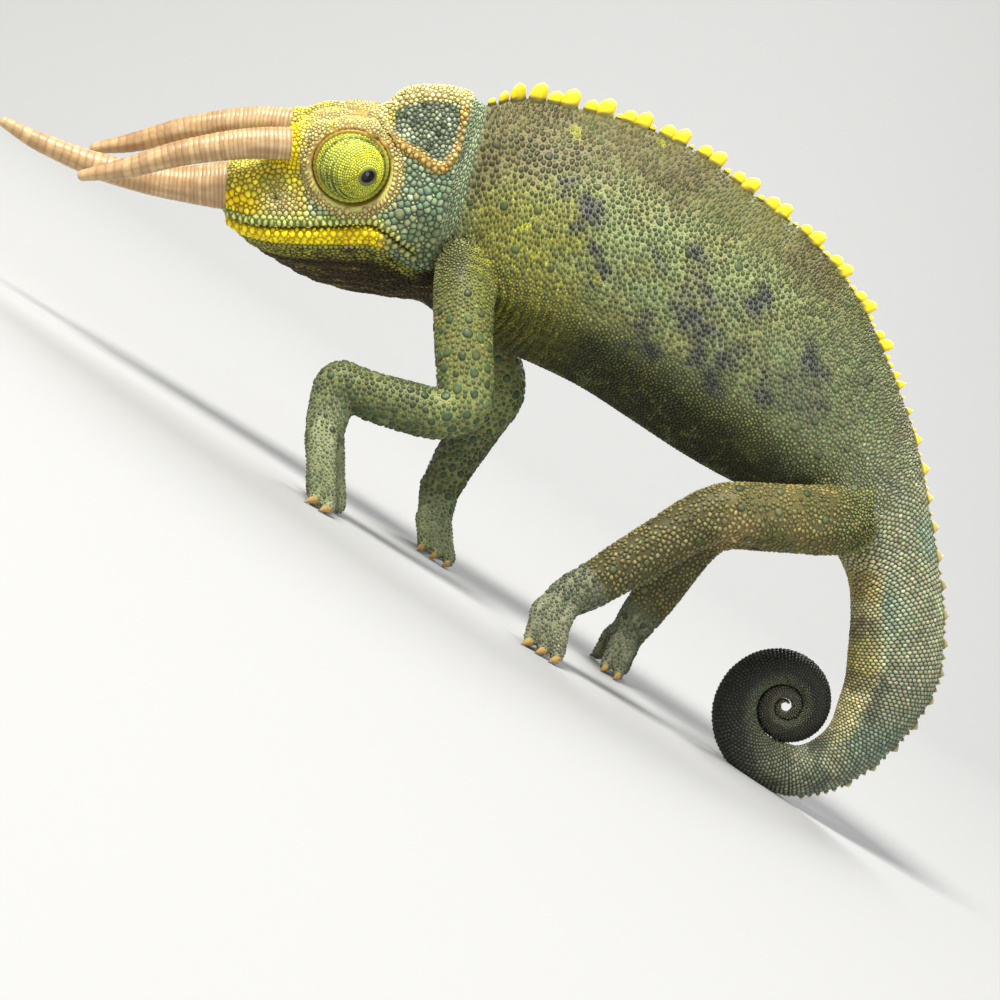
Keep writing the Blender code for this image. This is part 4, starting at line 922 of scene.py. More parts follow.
def coat_plan(home, chart):
    """Size and form of the scales from the place: their spacing, their stretch along and
    across the flow, height, how domed they are, how many large ones stand among them, the
    spacing of those, and what is added to half the seam."""
    strand, along, tube = chart[:, 0], chart[:, 1], chart[:, 4]
    middling = cloud(home, 4.5, 2)
    body = strand == BODY
    level = -chart[:, 2]
    plan = np.tile([0.62, 1.0, 1.0, 0.30, 1.0, 0.008, 1.25], (len(home), 1))
    zones = head_zones(home)
    u, w = home[:, 0], home[:, 1]
    upper = ease(level + 0.45 * (middling - 0.5) - 0.05 * (along - 15.5), 0.24, 0.56)
    meshed = 1 - ease(-level + 0.45 * (middling - 0.5), 0.20, 0.50)
    head = body * (1 - ease(neck_place(home), -1.6, -0.2))
    trunk = body * (1 - ease(along, 21.6, 23.0))
    front, hind = (strand == 1) | (strand == 2), strand >= 3
    for mask, row in (
            (trunk * meshed, (0.92, 0.92, 1.10, 0.22, 0.5, 0.020, 1.45)),
            (trunk * meshed * near_spot(home, 10.0, -10.0, 12.0, 0.5),
             (0.84, 0.75, 1.30, 0.24, 0.55, 0.022, 1.6)),
            (trunk * upper, (1.18, 0.92, 1.10, 0.14, 0.30, 0.01, 1.6)),
            (trunk * ease(level, 0.40, 0.70) * ease(along, 16.8, 18.0),
             (0.84, 0.62, 1.65, 0.18, 0.40, 0.0, 1.4)),
            (trunk * ease(level, 0.70, 0.86), (0.95, 0.70, 1.45, 0.14, 0.25, 0.0, 1.4)),
            (body * ease(-level, 0.5, 0.85), (0.55, 1.1, 0.95, 0.24, 1.0, 0.0, 1.2)),
            (body * ease(along, 20.3, 22.0) * ease(level, -0.05, 0.3),
             (0.84, 0.66, 1.55, 0.28, 0.8, 0.01, 1.3)),
            (body * near_spot(home, 64.0, -36.0, 9.0, 0.5),
             (0.82, 0.95, 1.1, 0.28, 1.0, 0.06, 1.5)),
            (front * ease(along, 0.06, 0.20), (1.02, 1.0, 1.0, 0.20, 0.55, 0.15, 1.75)),
            (front * (along > 0.45), (0.92, 1.0, 1.0, 0.24, 0.6, 0.16, 1.40)),
            (front * (along > 0.84), (0.80, 1.0, 1.0, 0.24, 0.6, 0.14, 1.20)),
            (hind * ease(along, 0.04, 0.16), (0.88, 1.0, 1.0, 0.28, 0.7, 0.05, 1.45)),
            (hind * (along > 0.76), (0.76, 1.0, 1.0, 0.26, 0.6, 0.08, 1.2)),
            (tube > 0, (0.66, 1.0, 1.0, 0.20, 1.0, 0.0, 1.0)),
            (head, (1.10, 1.0, 1.0, 0.30, 0.9, 0.0, 1.4)),
            (head * ease(w, -6.5, -3.0) * (1 - ease(w, 5.0, 7.0)) * ease(u, -12.0, -10.0),
             (1.25, 1.0, 1.0, 0.34, 0.9, 0.03, 1.7)),
            (head * zones["snout"], (1.10, 1.0, 1.0, 0.30, 0.85, 0.0, 1.6)),
            (head * zones["nose"], (1.35, 1.0, 1.0, 0.36, 0.8, 0.0, 1.6)),
            (head * zones["nostril"], (0.7, 1.0, 1.0, 0.18, 0.6, 0.0, 1.6)),
            (head * zones["top"], (0.72, 1.0, 1.0, 0.32, 1.0, 0.02, 1.2)),
            (head * zones["casque"], (0.74, 1.0, 1.0, 0.32, 1.0, 0.04, 1.1)),
            (head * zones["patch"], (0.86, 1.0, 1.0, 0.30, 0.8, 0.0, 1.3)),
            (head * zones["rim"], (0.62, 1.0, 1.0, 0.20, 1.0, 0.0, 1.0)),
            (head * zones["crest"], (0.80, 1.0, 1.0, 0.22, 0.7, 0.0, 1.0)),
            (head * zones["collar"], (0.84, 1.0, 1.0, 0.30, 1.0, 0.0, 1.0)),
            (body * zones["throat"], (0.62, 1.45, 0.80, 0.20, 0.9, 0.0, 1.0)),
            (body * zones["nape"], (0.60, 0.66, 1.65, 0.18, 0.8, 0.0, 1.0))):
        plan = plan + (np.array(row) - plan) * np.clip(mask, 0, 1)[:, None]
    seam = np.zeros(len(home))
    for mask, width in ((trunk * meshed, 0.050), (trunk * upper, 0.032), (front, 0.055),
                        (hind, 0.030), (head, 0.0), (body * zones["throat"], 0.0)):
        seam = seam + (width - seam) * np.clip(mask, 0, 1)
    return np.column_stack([plan, seam])


def spread(points, frames, plan):
    """Take sites in order and drop every later one that comes too near to one taken,
    by the distance in each site's own stretched frame."""
    tree = point_tree(points)
    alive = np.ones(len(points), bool)
    taken = []
    radius, along, across = plan[:, 0], plan[:, 1], plan[:, 2]
    for number in range(len(points)):
        if not alive[number]:
            continue
        taken.append(number)
        own, ax, ay = radius[number], along[number], across[number]
        reach = 0.5 * (own + max(own, WIDEST)) * max(ax, ay, 1.0)
        near = np.fromiter((hit[1] for hit in tree.find_range(points[number], reach)), int)
        step = points[near] - points[number]
        local = step @ frames[number].T
        away = np.hypot(local[:, 0] / ax, local[:, 1] / ay) + 0.5 * np.abs(local[:, 2])
        alive[near[away < 0.5 * (own + radius[near])]] = False
    return np.array(taken)


CANDIDATES = 26.0           # places tried for each square millimetre of skin
LARGE_TRIES = 7.0           # places tried for each large scale
FILLER = 0.62               # size of the scales that fill the room left, as a share
COAT_SEED = 11
TAIL_ROWS_FROM = 24.3       # ladder place where the tail's rows of scales start
ROW_PITCH, ROW_ACROSS = (0.68, 0.42), (1.00, 0.46)   # from the tail's base to the coil's tip
ROW_ROOM = 0.72             # radius that a scale in a row keeps free, as a share of its pitch

# Rings of a scale: share of the outline and of the height, flat scale then domed one
SMALL_RINGS = ((1.0, -0.01, 1.0, -0.01), (0.88, 0.80, 0.84, 0.62))
LARGE_RINGS = ((1.0, -0.01, 1.0, -0.01), (0.93, 0.66, 0.92, 0.50), (0.68, 0.95, 0.60, 0.88))
SCALE_CLASSES = ((0.0, 0.50, 6, SMALL_RINGS), (0.50, 1.0, 8, SMALL_RINGS),
                 (1.0, 9.0, 12, LARGE_RINGS))     # spacing from, to, corners and rings
FILL_CORNERS = 6
FILL_RINGS = ((1.0, -0.01, 1.0, -0.01),)
SEAM = (0.010, 0.018)       # half the seam: fixed part, and share of the spacing
LARGE_COLOUR = paint(0.21, 0.28, 0.19)     # laid over the large scales among small ones
ROOT_SINK = 0.07            # depth of a scale's root in the skin
PACKING = 0.82              # least spacing of scattered scales as a share of the planned one
UV_PATCH = 0.003            # size of a scale's patch on the unwrap

# Coat pieces: first and last ladder place; each is made for both sides
COAT_LENGTHS = (("head", -1.0, 9.3), ("cheek", 9.3, 13.5), ("neck", 13.5, 15.6),
                ("shoulder", 15.6, 17.1), ("flank", 17.1, 18.6), ("loin", 18.6, 20.2),
                ("hip", 20.2, 23.2), ("tail", 23.2, 28.5), ("tail_bend", 28.5, 34.0),
                ("tail_coil", 34.0, 99.0))


class Sites:
    """Places of scales: point, normal, flow along the body, chart row and plan row."""

    def __init__(self, points, normals, charts, plan):
        self.points, self.normals, self.charts, self.plan = points, normals, charts, plan

    def pick(self, which):
        """The sites that a mask or a list of numbers names."""
        return Sites(*(rows[which] for rows in (self.points, self.normals, self.charts,
                                                self.plan)))

    def frames(self):
        """For each site the direction along the body, the one across it and the normal."""
        flow = self.charts[:, 5:8]
        along = unit(flow - np.sum(flow * self.normals, 1)[:, None] * self.normals)
        return np.stack([along, np.cross(self.normals, along), self.normals], axis=1)

    def home(self):
        """Places in the head's and body's own u, w and y; legs are not rolled."""
        return home_places(self.points, self.charts)


def join_sites(groups):
    """One set of sites from several, in their order."""
    return Sites(*(np.concatenate([getattr(group, rows) for group in groups])
                   for rows in ("points", "normals", "charts", "plan")))


class Surface:
    """The finished skin as arrays in millimetres, with a tree for rays and nearest places."""

    def __init__(self, skin):
        mesh = skin.data
        mesh.calc_loop_triangles()
        self.points = read_points(mesh) / MM
        self.normals = read_normals(mesh)
        triangles = np.empty(len(mesh.loop_triangles) * 3, dtype=np.int32)
        mesh.loop_triangles.foreach_get("vertices", triangles)
        self.triangles = triangles.reshape(-1, 3)
        self.charts = chart_points(self.points)
        self.tree = BVHTree.FromPolygons(self.points.tolist(), self.triangles.tolist())

    def sites(self, faces, shares):
        """Sites at shares of the corners of faces. A value of the chart that jumps
        between corners, such as the strand, comes from the nearest corner."""
        corners = self.triangles[faces]
        points = np.einsum("nk,nkd->nd", shares, self.points[corners])
        normals = unit(np.einsum("nk,nkd->nd", shares, self.normals[corners]))
        rows = self.charts[corners]
        nearest = rows[np.arange(len(rows)), shares.argmax(axis=1)]
        mixed = np.einsum("nk,nkd->nd", shares, rows)
        steady = (np.ptp(rows[:, :, 0], axis=1) == 0) & (np.ptp(rows[:, :, 4], axis=1) == 0) \
            & (np.ptp(rows[:, :, 1], axis=1) < 0.5)
        charts = np.where(steady[:, None], mixed, nearest)
        charts[:, 2:4] = unit(charts[:, 2:4])
        return Sites(points, normals, charts, np.zeros((len(points), 8)))

    def touch(self, places):
        """Sites at the skin nearest to given places."""
        faces, shares = [], []
        for place in places.tolist():
            point, _, face, _ = self.tree.find_nearest(place)
            faces.append(face)
            shares.append(point)
        return self.on_faces(np.array(faces), np.array(shares))

    def on_faces(self, faces, points):
        """Sites at points that lie on faces."""
        a, b, c = (self.points[self.triangles[faces][:, k]] for k in range(3))
        whole = np.linalg.norm(np.cross(b - a, c - a), axis=1)
        first = np.linalg.norm(np.cross(b - points, c - points), axis=1)
        second = np.linalg.norm(np.cross(c - points, a - points), axis=1)
        shares = np.clip(np.column_stack([first, second, whole - first - second])
                         / whole[:, None], 0, 1)
        return self.sites(faces, shares / shares.sum(axis=1)[:, None])


def random_sites(surface, draw):
    """Places spread evenly by area over the whole skin, the large scales' ones first."""
    a, b, c = (surface.points[surface.triangles[:, k]] for k in range(3))
    area = np.linalg.norm(np.cross(b - a, c - a), axis=1) / 2
    count = int(area.sum() * CANDIDATES)
    faces = np.searchsorted(np.cumsum(area) / area.sum(), draw.random(count))
    root, turn = np.sqrt(draw.random(count)), draw.random(count)
    sites = surface.sites(faces, np.column_stack([1 - root, root * (1 - turn), root * turn]))
    sites.plan = coat_plan(sites.home(), sites.charts)
    sites.plan[:, 0] *= PACKING
    rows = (sites.charts[:, 0] == BODY) & (sites.charts[:, 1] > TAIL_ROWS_FROM)
    sites = sites.pick(~rows)
    fillers = sites.pick(slice(None))
    fillers.plan = sites.plan * (FILLER, 1, 1, 0.9, 1, 0, 1, 0) - (0, 0, 0, 0, 0, 2, 0, 0)
    return [large_sites(sites, draw), sites, fillers]


def large_sites(sites, draw):
    """The large scales that stand among the others, well apart from one another."""
    density = sites.plan[:, 5]
    chosen = sites.pick(draw.random(len(density)) < LARGE_TRIES * density / CANDIDATES)
    apart = chosen.plan.copy()
    apart[:, 0] = np.sqrt(0.7 / chosen.plan[:, 5])
    apart[:, 1:3] = 1.0
    large = chosen.pick(spread(chosen.points, chosen.frames(), apart))
    large.plan[:, 0] = large.plan[:, 6] * draw.uniform(0.72, 1.08, len(large.points))
    large.plan[:, 1:3] = 1.0
    large.plan[:, 3] *= 1.25
    large.plan[:, 5] = -1.0
    return large


def row_on_head(surface, line, pitch, plan, side, draw):
    """A row of scales along a line on one side of the head, found by rays across it. The
    plan tells the stretch along and across the line, the height and the dome."""
    dense = smooth(line, np.linspace(0, len(line) - 1, 40 * len(line)))
    run = run_along(dense)
    stops = np.arange(0.5 * pitch, run[-1], pitch)
    stops = stops + draw.uniform(-0.08, 0.08, len(stops)) * pitch
    places = np.column_stack([np.interp(stops, run, dense[:, k]) for k in range(2)])
    outside = head_to_floor(np.column_stack([places, np.full(len(places), side * 60.0)]))
    middle = head_to_floor(np.column_stack([places, np.zeros(len(places))]))
    faces, points = [], []
    for start, aim in zip(outside, middle):
        point, _, face, _ = surface.tree.ray_cast(Vector(start), Vector(aim - start))
        if face is not None:
            faces.append(face)
            points.append(point)
    sites = surface.on_faces(np.array(faces), np.array(points))
    sites.charts[:, 5:8] = unit(np.gradient(sites.points, axis=0))
    sites.plan = np.tile(np.array([ROW_ROOM * pitch, *plan, 0.0, 0.0, 0.0]), (len(points), 1))
    return sites


def shifted(line, rise, reach=None):
    """A line moved up its side plane, cut off where u passes the reach."""
    return [(u, w + rise) for u, w in line if reach is None or u < reach]


def head_rows(surface, draw):
    """The lips' plates, the beads of the eye's rim and those of the casque's crests."""
    jaw_rows = (
        (shifted(MOUTH_LINE, 1.0), 1.12, (1.0, 1.75, 0.32, 0.75)),
        (shifted(MOUTH_LINE, 2.55, -9), 1.15, (1.0, 1.1, 0.28, 0.75)),
        (shifted(MOUTH_LINE, -0.95), 1.40, (1.0, 1.35, 0.40, 0.75)),
        (shifted(MOUTH_LINE, -2.45), 1.20, (1.0, 1.15, 0.38, 0.75)),
        (shifted(MOUTH_LINE, -3.6), 0.90, (1.0, 1.1, 0.30, 0.9)),
    )
    crest_rows = (
        (EYE_RIM, 0.78, (1.0, 1.2, 0.24, 1.0)),
        (TEMPORAL_CREST, 1.30, (1.0, 1.30, 0.36, 0.75)),
        (LATERAL_CREST, 1.10, (1.0, 1.0, 0.34, 0.8)),
    )
    groups = []
    for side in (-1, 1):
        for line, pitch, plan in jaw_rows + crest_rows:
            groups.append(row_on_head(surface, line, pitch, plan, side, draw))
    return groups


def tail_rows(surface, draw):
    """Rows of scales across the tail: each row is a ring of the ladder, its scales set
    evenly round it and shifted by half a scale from row to row."""
    dense = np.linspace(TAIL_ROWS_FROM, LADDER_END - 0.25, 900)
    middle = body_grid(dense, 40).mean(axis=1)
    run = run_along(middle)
    share = run / run[-1]
    rate = 1 / (ROW_PITCH[0] + (ROW_PITCH[1] - ROW_PITCH[0]) * ease(share, 0.10, 0.95))
    count = np.concatenate([[0], np.cumsum(np.diff(run) * (rate[1:] + rate[:-1]) / 2)])
    places = np.interp(np.arange(0, count[-1], 1.0), count, dense)
    shares = np.interp(places, dense, share)
    rings = head_to_floor(body_grid(places, 160))
    spots, spacing = [], []
    for number, (ring, part) in enumerate(zip(rings, shares)):
        loop = np.vstack([ring, ring[:1]])
        way = run_along(loop)
        fineness = ease(part, 0.10, 0.95)
        pitch = ROW_PITCH[0] + (ROW_PITCH[1] - ROW_PITCH[0]) * fineness
        across = ROW_ACROSS[0] + (ROW_ACROSS[1] - ROW_ACROSS[0]) * fineness
        size = max(int(way[-1] / across), 5)
        stops = (np.arange(size) + 0.5 * (number % 2)) * way[-1] / size
        stops = stops + draw.uniform(-0.1, 0.1, size) * across
        stops = stops % way[-1]
        spots.append(np.column_stack([np.interp(stops, way, loop[:, k]) for k in range(3)]))
        spacing.append(np.tile((pitch, across), (size, 1)))
    spots, spacing = np.vstack(spots), np.vstack(spacing)
    sites = surface.touch(spots)
    square = np.sqrt(spacing[:, 0] * spacing[:, 1])
    sites.plan = np.tile([1.0, 1.0, 1.0, 0.26, 0.8, 0.0, 0.0, 0.0], (len(spots), 1))
    sites.plan[:, 0] = ROW_ROOM * square
    sites.plan[:, 1:3] = spacing / square[:, None]
    sites.plan[:, 3] = 0.30 * square * draw.uniform(0.85, 1.15, len(spots))
    return sites


def hidden_from_coat(sites):
    """True where no scale belongs: under a turret or where a horn comes out."""
    home = sites.home()
    hidden = np.zeros(len(home), bool)
    for side in (-1, 1):
        hidden |= (eye_reach(home) < SOCKET_RADIUS + RIM_WIDTH) & (home[:, 2] * side > 4.5)
        for horn in (BROW_HORN, ROSTRAL_HORN):
            path = np.array(horn)[:3] * (1, 1, side, 1)
            for start, end in zip(path[:-1], path[1:]):
                axis = end[:3] - start[:3]
                share = np.clip((home - start[:3]) @ axis / (axis @ axis), 0, 1)
                away = np.linalg.norm(home - start[:3] - share[:, None] * axis, axis=1)
                hidden |= away < start[3] + (end[3] - start[3]) * share + 0.12
    hidden |= (line_distance(home, MOUTH_LINE) < 0.24) & (home[:, 0] < -6)
    return hidden & (sites.charts[:, 0] == BODY)


def coat_sites(surface):
    """All scales of the coat: rows of the head and tail first, then the large ones, then
    the rest in the room that is left."""
    draw = np.random.default_rng(COAT_SEED)
    groups = head_rows(surface, draw) + [tail_rows(surface, draw)] + random_sites(surface, draw)
    sites = join_sites(groups)
    sites = sites.pick(~hidden_from_coat(sites))
    return sites.pick(spread(sites.points, sites.frames(), sites.plan))


def nearest_sites(points, count):
    """For each site the numbers of its nearest neighbours."""
    tree = point_tree(points)
    rows = [[hit[1] for hit in tree.find_n(place, count + 1)] for place in points.tolist()]
    return np.array(rows)[:, 1:]


def cells(sites):
    """Room of each scale: in its own flat frame, where its neighbours lie, how far its
    border with each one is, and how the skin bends there, as a x^2 + b x y + c y^2."""
    near = nearest_sites(sites.points, 10)
    frames = sites.frames()
    step = sites.points[near] - sites.points[:, None, :]
    x, y, z = (np.einsum("nmd,nd->nm", step, frames[:, k]) for k in range(3))
    ax, ay = sites.plan[:, 1][:, None], sites.plan[:, 2][:, None]
    away = np.hypot(x / ax, y / ay)
    angle = np.arctan2(y / ay, x / ax)
    radius = sites.plan[:, 0]
    border = away * radius[:, None] / (radius[:, None] + radius[near])
    terms = np.stack([x * x, x * y, y * y], axis=-1)
    weight = 1 / (0.2 + away) ** 4
    left = np.einsum("nmi,nmj,nm->nij", terms, terms, weight) + 0.02 * np.eye(3)
    right = np.einsum("nmi,nm,nm->ni", terms, z, weight)
    bend = np.clip(np.linalg.solve(left, right[..., None])[..., 0], -0.45, 0.45)
    return frames, angle, border, bend


def scale_shells(sites, room, corners, rings, draw):
    """Shells of scales: each ring has its share of the cell's outline and of the height,
    and one point closes the top. The outline reaches in each direction to the nearest
    border with a neighbour, drawn in by half the seam."""
    frames, angle, border, bend = room
    count = len(sites.points)
    theta = (np.arange(corners) + draw.random((count, 1))) * 2 * math.pi / corners
    facing = np.cos(theta[:, None, :] - angle[:, :, None])
    reach = np.where(facing > 0.12, border[:, :, None] / np.maximum(facing, 0.12), 9.0)
    reach = np.minimum(reach.min(axis=1), sites.plan[:, :1])
    x = reach * np.cos(theta) * sites.plan[:, 1:2]
    y = reach * np.sin(theta) * sites.plan[:, 2:3]
    size = np.hypot(x, y)
    seam = SEAM[0] + SEAM[1] * np.minimum(sites.plan[:, :1], 1.2) + sites.plan[:, 7:8]
    shrink = np.maximum(1 - seam / np.maximum(size, 0.05), 0.6)
    x, y = x * shrink, y * shrink
    widest = np.maximum(np.hypot(x, y).max(axis=1), 0.05)
    high, dome = sites.plan[:, 3], sites.plan[:, 4]
    lean = 0.10 * sites.plan[:, 0] * draw.uniform(0.4, 1.4, count)
    layers, spots = [], []
    for share, lift, domed_share, domed_lift in rings:
        share = share + (domed_share - share) * dome
        lift = (lift + (domed_lift - lift) * dome) * high - (ROOT_SINK if lift < 0 else 0.0)
        lx, ly = x * share[:, None], y * share[:, None]
        sag = bend[:, 0:1] * lx * lx + bend[:, 1:2] * lx * ly + bend[:, 2:3] * ly * ly
        lx = lx + (lean * np.clip(lift / high, 0, 1))[:, None]
        layers.append(sites.points[:, None] + lx[..., None] * frames[:, None, 0]
                      + ly[..., None] * frames[:, None, 1]
                      + (sag + lift[:, None])[..., None] * frames[:, None, 2])
        spots.append(np.stack([lx, ly], axis=-1) / widest[:, None, None])
    top = sites.points + lean[:, None] * frames[:, 0] + high[:, None] * frames[:, 2]
    points = np.concatenate(layers + [top[:, None]], axis=1)
    spots = np.concatenate(spots + [np.zeros((count, 1, 2))], axis=1)
    return points, spots


def shell_faces(corners, ring_count):
    """Faces of one scale: a bottom, bands of quads and a fan of triangles at the top."""
    faces = [tuple(range(corners - 1, -1, -1))]
    for ring in range(ring_count - 1):
        for j in range(corners):
            k = (j + 1) % corners
            faces.append((ring * corners + j, ring * corners + k,
                          (ring + 1) * corners + k, (ring + 1) * corners + j))
    last, top = (ring_count - 1) * corners, ring_count * corners
    faces += [(last + j, last + (j + 1) % corners, top) for j in range(corners)]
    return faces


def coat_uv(sites, spots, span):
    """A patch for each scale at its root's place on the unwrapped strand: along the
    ladder or limb one way, round it the other."""
    strand, along, cosine, sine, tube = sites.charts[:, :5].T
    turn = np.arctan2(sine, cosine)
    body = strand == BODY
    first, last = span
    s = np.where(body, (along - first) / (last - first),
                 np.where(tube > 0, 0.64 + 0.34 * (along - 1), 0.6 * along))
    t = np.where(body, np.abs(turn) / math.pi,
                 np.where(tube > 0, (tube - 1 + (turn % (2 * math.pi)) / (2 * math.pi)) / 5,
                          (turn % (2 * math.pi)) / (2 * math.pi)))
    root = 0.01 + 0.98 * np.clip(np.column_stack([s, t]), 0, 1)
    return root[:, None, :] + UV_PATCH / 2 * np.clip(spots, -1, 1)


def shell_mesh(name, blocks):
    """One mesh of many shells. Each block holds points, faces of one shell, colours and
    places on the unwrap; the arrays are repeated for all its shells at once."""
    points, loops, starts, colours, uvs, shine = [], [], [], [], [], []
    first_point = first_loop = 0
    for shell_points, faces, tints, spots, gloss in blocks:
        count, size = shell_points.shape[:2]
        corners = np.concatenate([np.array(face) for face in faces])
        lengths = np.array([len(face) for face in faces])
        begin = np.concatenate([[0], np.cumsum(lengths)[:-1]])
        shells = np.arange(count)[:, None]
        points.append(shell_points.reshape(-1, 3))
        loops.append((corners + size * shells + first_point).ravel())
        starts.append((begin + len(corners) * shells + first_loop).ravel())
        colours.append(tints.reshape(-1, 3))
        uvs.append(spots[:, corners].reshape(-1, 2))
        shine.append(np.repeat(gloss, size))
        first_point += count * size
        first_loop += count * len(corners)
    points, loops, starts = (np.concatenate(rows) for rows in (points, loops, starts))
    points[:, 2] = np.maximum(points[:, 2], FLOOR_CLEAR)
    mesh = bpy.data.meshes.new(name)
    mesh.vertices.add(len(points))
    mesh.loops.add(len(loops))
    mesh.polygons.add(len(starts))
    mesh.vertices.foreach_set("co", (points * MM).ravel())
    mesh.loops.foreach_set("vertex_index", loops.astype(np.int32))
    mesh.polygons.foreach_set("loop_start", starts.astype(np.int32))
    mesh.update(calc_edges=True)
    mesh.shade_smooth()
    set_tint(mesh, np.concatenate(colours))
    mesh.attributes.new("gloss", "FLOAT", "POINT").data.foreach_set(
        "value", np.concatenate(shine).astype(np.float32))
    mesh.uv_layers.new(name="OFBake").uv.foreach_set(
        "vector", np.concatenate(uvs).astype(np.float32).ravel())
    obj = bpy.data.objects.new(name, mesh)
    bpy.context.scene.collection.objects.link(obj)
    return obj


def set_tint(mesh, colours):
    """Store a colour for each vertex as the attribute that the materials read."""
    layer = mesh.color_attributes.new("tint", "FLOAT_COLOR", "POINT")
    rgba = np.column_stack([colours, np.ones(len(colours))])
    layer.data.foreach_set("color", rgba.astype(np.float32).ravel())


def coat_blocks(sites, room, span, draw):
    """Shells of a piece by class of size, with colours that go from the seam's at the
    root to the scale's own. Domed scales get painted shade on their sides and a
    painted highlight on top."""
    blocks = []
    scale, gap = markings(sites.home(), sites.charts)
    large, filler = sites.plan[:, 5] == -1, sites.plan[:, 5] == -2
    scale = lay(scale, large * np.where(sites.charts[:, 0] == BODY, 0.35, 0.70), LARGE_COLOUR)
    scale = lay(scale, 0.70 * filler, np.maximum(scale, gap))
    spread_tone = np.exp(draw.normal(0.0, 0.20, (len(scale), 1))) \
        * (1 + draw.normal(0.0, 0.05, (len(scale), 3)))
    gloss = head_zones(sites.home())["patch"] * (sites.charts[:, 0] == BODY)
    for low, high, corners, rings in SCALE_CLASSES + ((0.0, 9.0, FILL_CORNERS, FILL_RINGS),):
        which = (sites.plan[:, 0] >= low) & (sites.plan[:, 0] < high)
        which &= filler == (rings is FILL_RINGS)
        if not which.any():
            continue
        part = sites.pick(which)
        points, spots = scale_shells(part, [rows[which] for rows in room], corners, rings, draw)
        tone = scale[which] * spread_tone[which]
        dome = part.plan[:, 4:5]
        root = gap[which] * 0.65 + 0.35 * tone
        # Painted shade on a scale's sides and a painted highlight on its top, both stronger the
        # more domed it is
        side = tone * (1 - 0.20 * dome)
        top = np.clip(tone * (1.0 + 0.40 * dome), 0, 1)
        layers = [root] + [side] * (len(rings) - 1)
        tints = np.concatenate([np.repeat(layer[:, None], corners, axis=1) for layer in layers]
                               + [top[:, None]], axis=1)
        blocks.append((points, shell_faces(corners, len(rings)), tints,
                       coat_uv(part, spots, span), gloss[which]))
    return blocks


HORN_ROWS, HORN_SIDES = 460, 40
RING_FROM, RING_TO = 0.72, 1.55         # spacing of a horn's growth rings at root and tip
HORN_BLUNT = (0.10, 0.40)               # added radius before and at a horn's tip
EYE_ROWS, EYE_SIDES = 70, 72
TURRET_RADIUS = 6.05
TURRET_DIP, GROOVE_WIDTH = 0.22, 0.22   # groove round a turret's base
GROOVE_RADIUS, GROOVE_SHIFT = 5.35, 0.3
FOLD_RADIUS, FOLD_THICK, FOLD_OUT = 6.10, 0.40, 1.25     # fold of skin round the turret
FOLD_ROWS, FOLD_SIDES, BALL_SIDES = 160, 14, 40
CLAW_ROWS, CLAW_SIDES = 20, 12
EYE_PITCH = 0.45                        # spacing of a turret's rings of granules
TOOTH_ROWS, TOOTH_SIDES = 9, 14
TOOTH_SQUARE = 0.72                     # how blocky a crest scale is: 1 is round
FULLER = 1.12                           # crest scales stand a little higher than the solids'
TINY_PITCH = 1.5                        # spacing of the small scales along the crest line


def coloured_piece(name, points, faces, colours):
    """Object of closed forms given in floor millimetres, with a colour for each point."""
    obj = add_mesh(name, points * MM, faces)
    set_tint(obj.data, colours)
    face_outwards(obj)
    obj.data.shade_smooth()
    return obj


def closed_piece(name, parts):
    """One object of closed grids of rings, each with its grid of colours."""
    points, faces = join_rings([grid for grid, _ in parts])
    points[:, 2] = np.maximum(points[:, 2], FLOOR_CLEAR)
    colours = [rows for _, tint in parts
               for rows in (tint.reshape(-1, 3), tint[[0, -1]].mean(axis=1))]
    return coloured_piece(name, points, faces, np.vstack(colours))


def layered(count, base, *layers):
    """A screen colour for so many points, with others laid over it by masks."""
    colours = np.tile(paint(*base), (count, 1))
    for mask, colour in layers:
        colours = lay(colours, mask, paint(*colour))
    return colours


def horn(name, table, side, seed):
    """A horn: rings along its curve whose radius dips in a thin groove between growth
    rings. The rings are narrow at the root and wide at the tip, and each is a little
    uneven. Grooves are darker, and the tip is paler."""
    path = np.array(table, float) * (1, 1, side, 1)
    path[-2:, 3] += HORN_BLUNT
    grid = tube_grid(path, HORN_ROWS, HORN_SIDES)
    centre = grid.mean(axis=1)
    run = run_along(centre)
    share = run / run[-1]
    pitch = RING_FROM + (RING_TO - RING_FROM) * ease(share, 0.25, 0.85)
    phase = np.concatenate([[0], np.cumsum(np.diff(run) / pitch[1:])])
    turn = turns(HORN_SIDES)
    uneven = 0.35 * (cloud(grid.reshape(-1, 3), 2.6, seed) - 0.5).reshape(grid.shape[:2])
    wave = phase[:, None] + uneven + 0.12 * np.sin(turn + seed)
    groove = np.abs(2 * (wave % 1) - 1) ** 3.5
    number = np.floor(wave).astype(int)
    draw = np.random.default_rng(seed).random(200)
    swell = 0.018 * draw[number % len(draw)]
    fade = 1 - 0.6 * ease(share, 0.93, 1.0)[:, None]
    rest = np.clip((run[-1] - run) / (0.9 * path[-1, 3]), 0, 1)[:, None]
    factor = (1 + swell - 0.038 * groove * fade) * np.sqrt(1 - (1 - rest) ** 2 + 0.01)
    grid = centre[:, None] + (grid - centre[:, None]) * factor[..., None]
    fibre = cloud(np.stack([np.broadcast_to(turn * 3.2, grid.shape[:2]).ravel(),
                            np.repeat(run * 0.12, HORN_SIDES),
                            np.zeros(grid[..., 0].size)], axis=-1), 0.5, seed + 4)
    flat = share.repeat(HORN_SIDES)
    colours = layered(
        len(flat), (0.74, 0.60, 0.41),
        (ease(fibre, 0.35, 0.8) * 0.65, (0.88, 0.79, 0.60)),
        (0.55 * draw[(number + 50) % len(draw)].ravel(), (0.54, 0.38, 0.25)),
        (0.60 * groove.ravel() * (1 - 0.3 * flat), (0.34, 0.22, 0.14)),
        (0.25 * (groove.ravel() > 0.85), (0.88, 0.78, 0.60)),
        (0.4 * ease(flat, 0.90, 1.0), (0.80, 0.70, 0.52)))
    return closed_piece(name, [(head_to_floor(grid), colours.reshape(*grid.shape))])


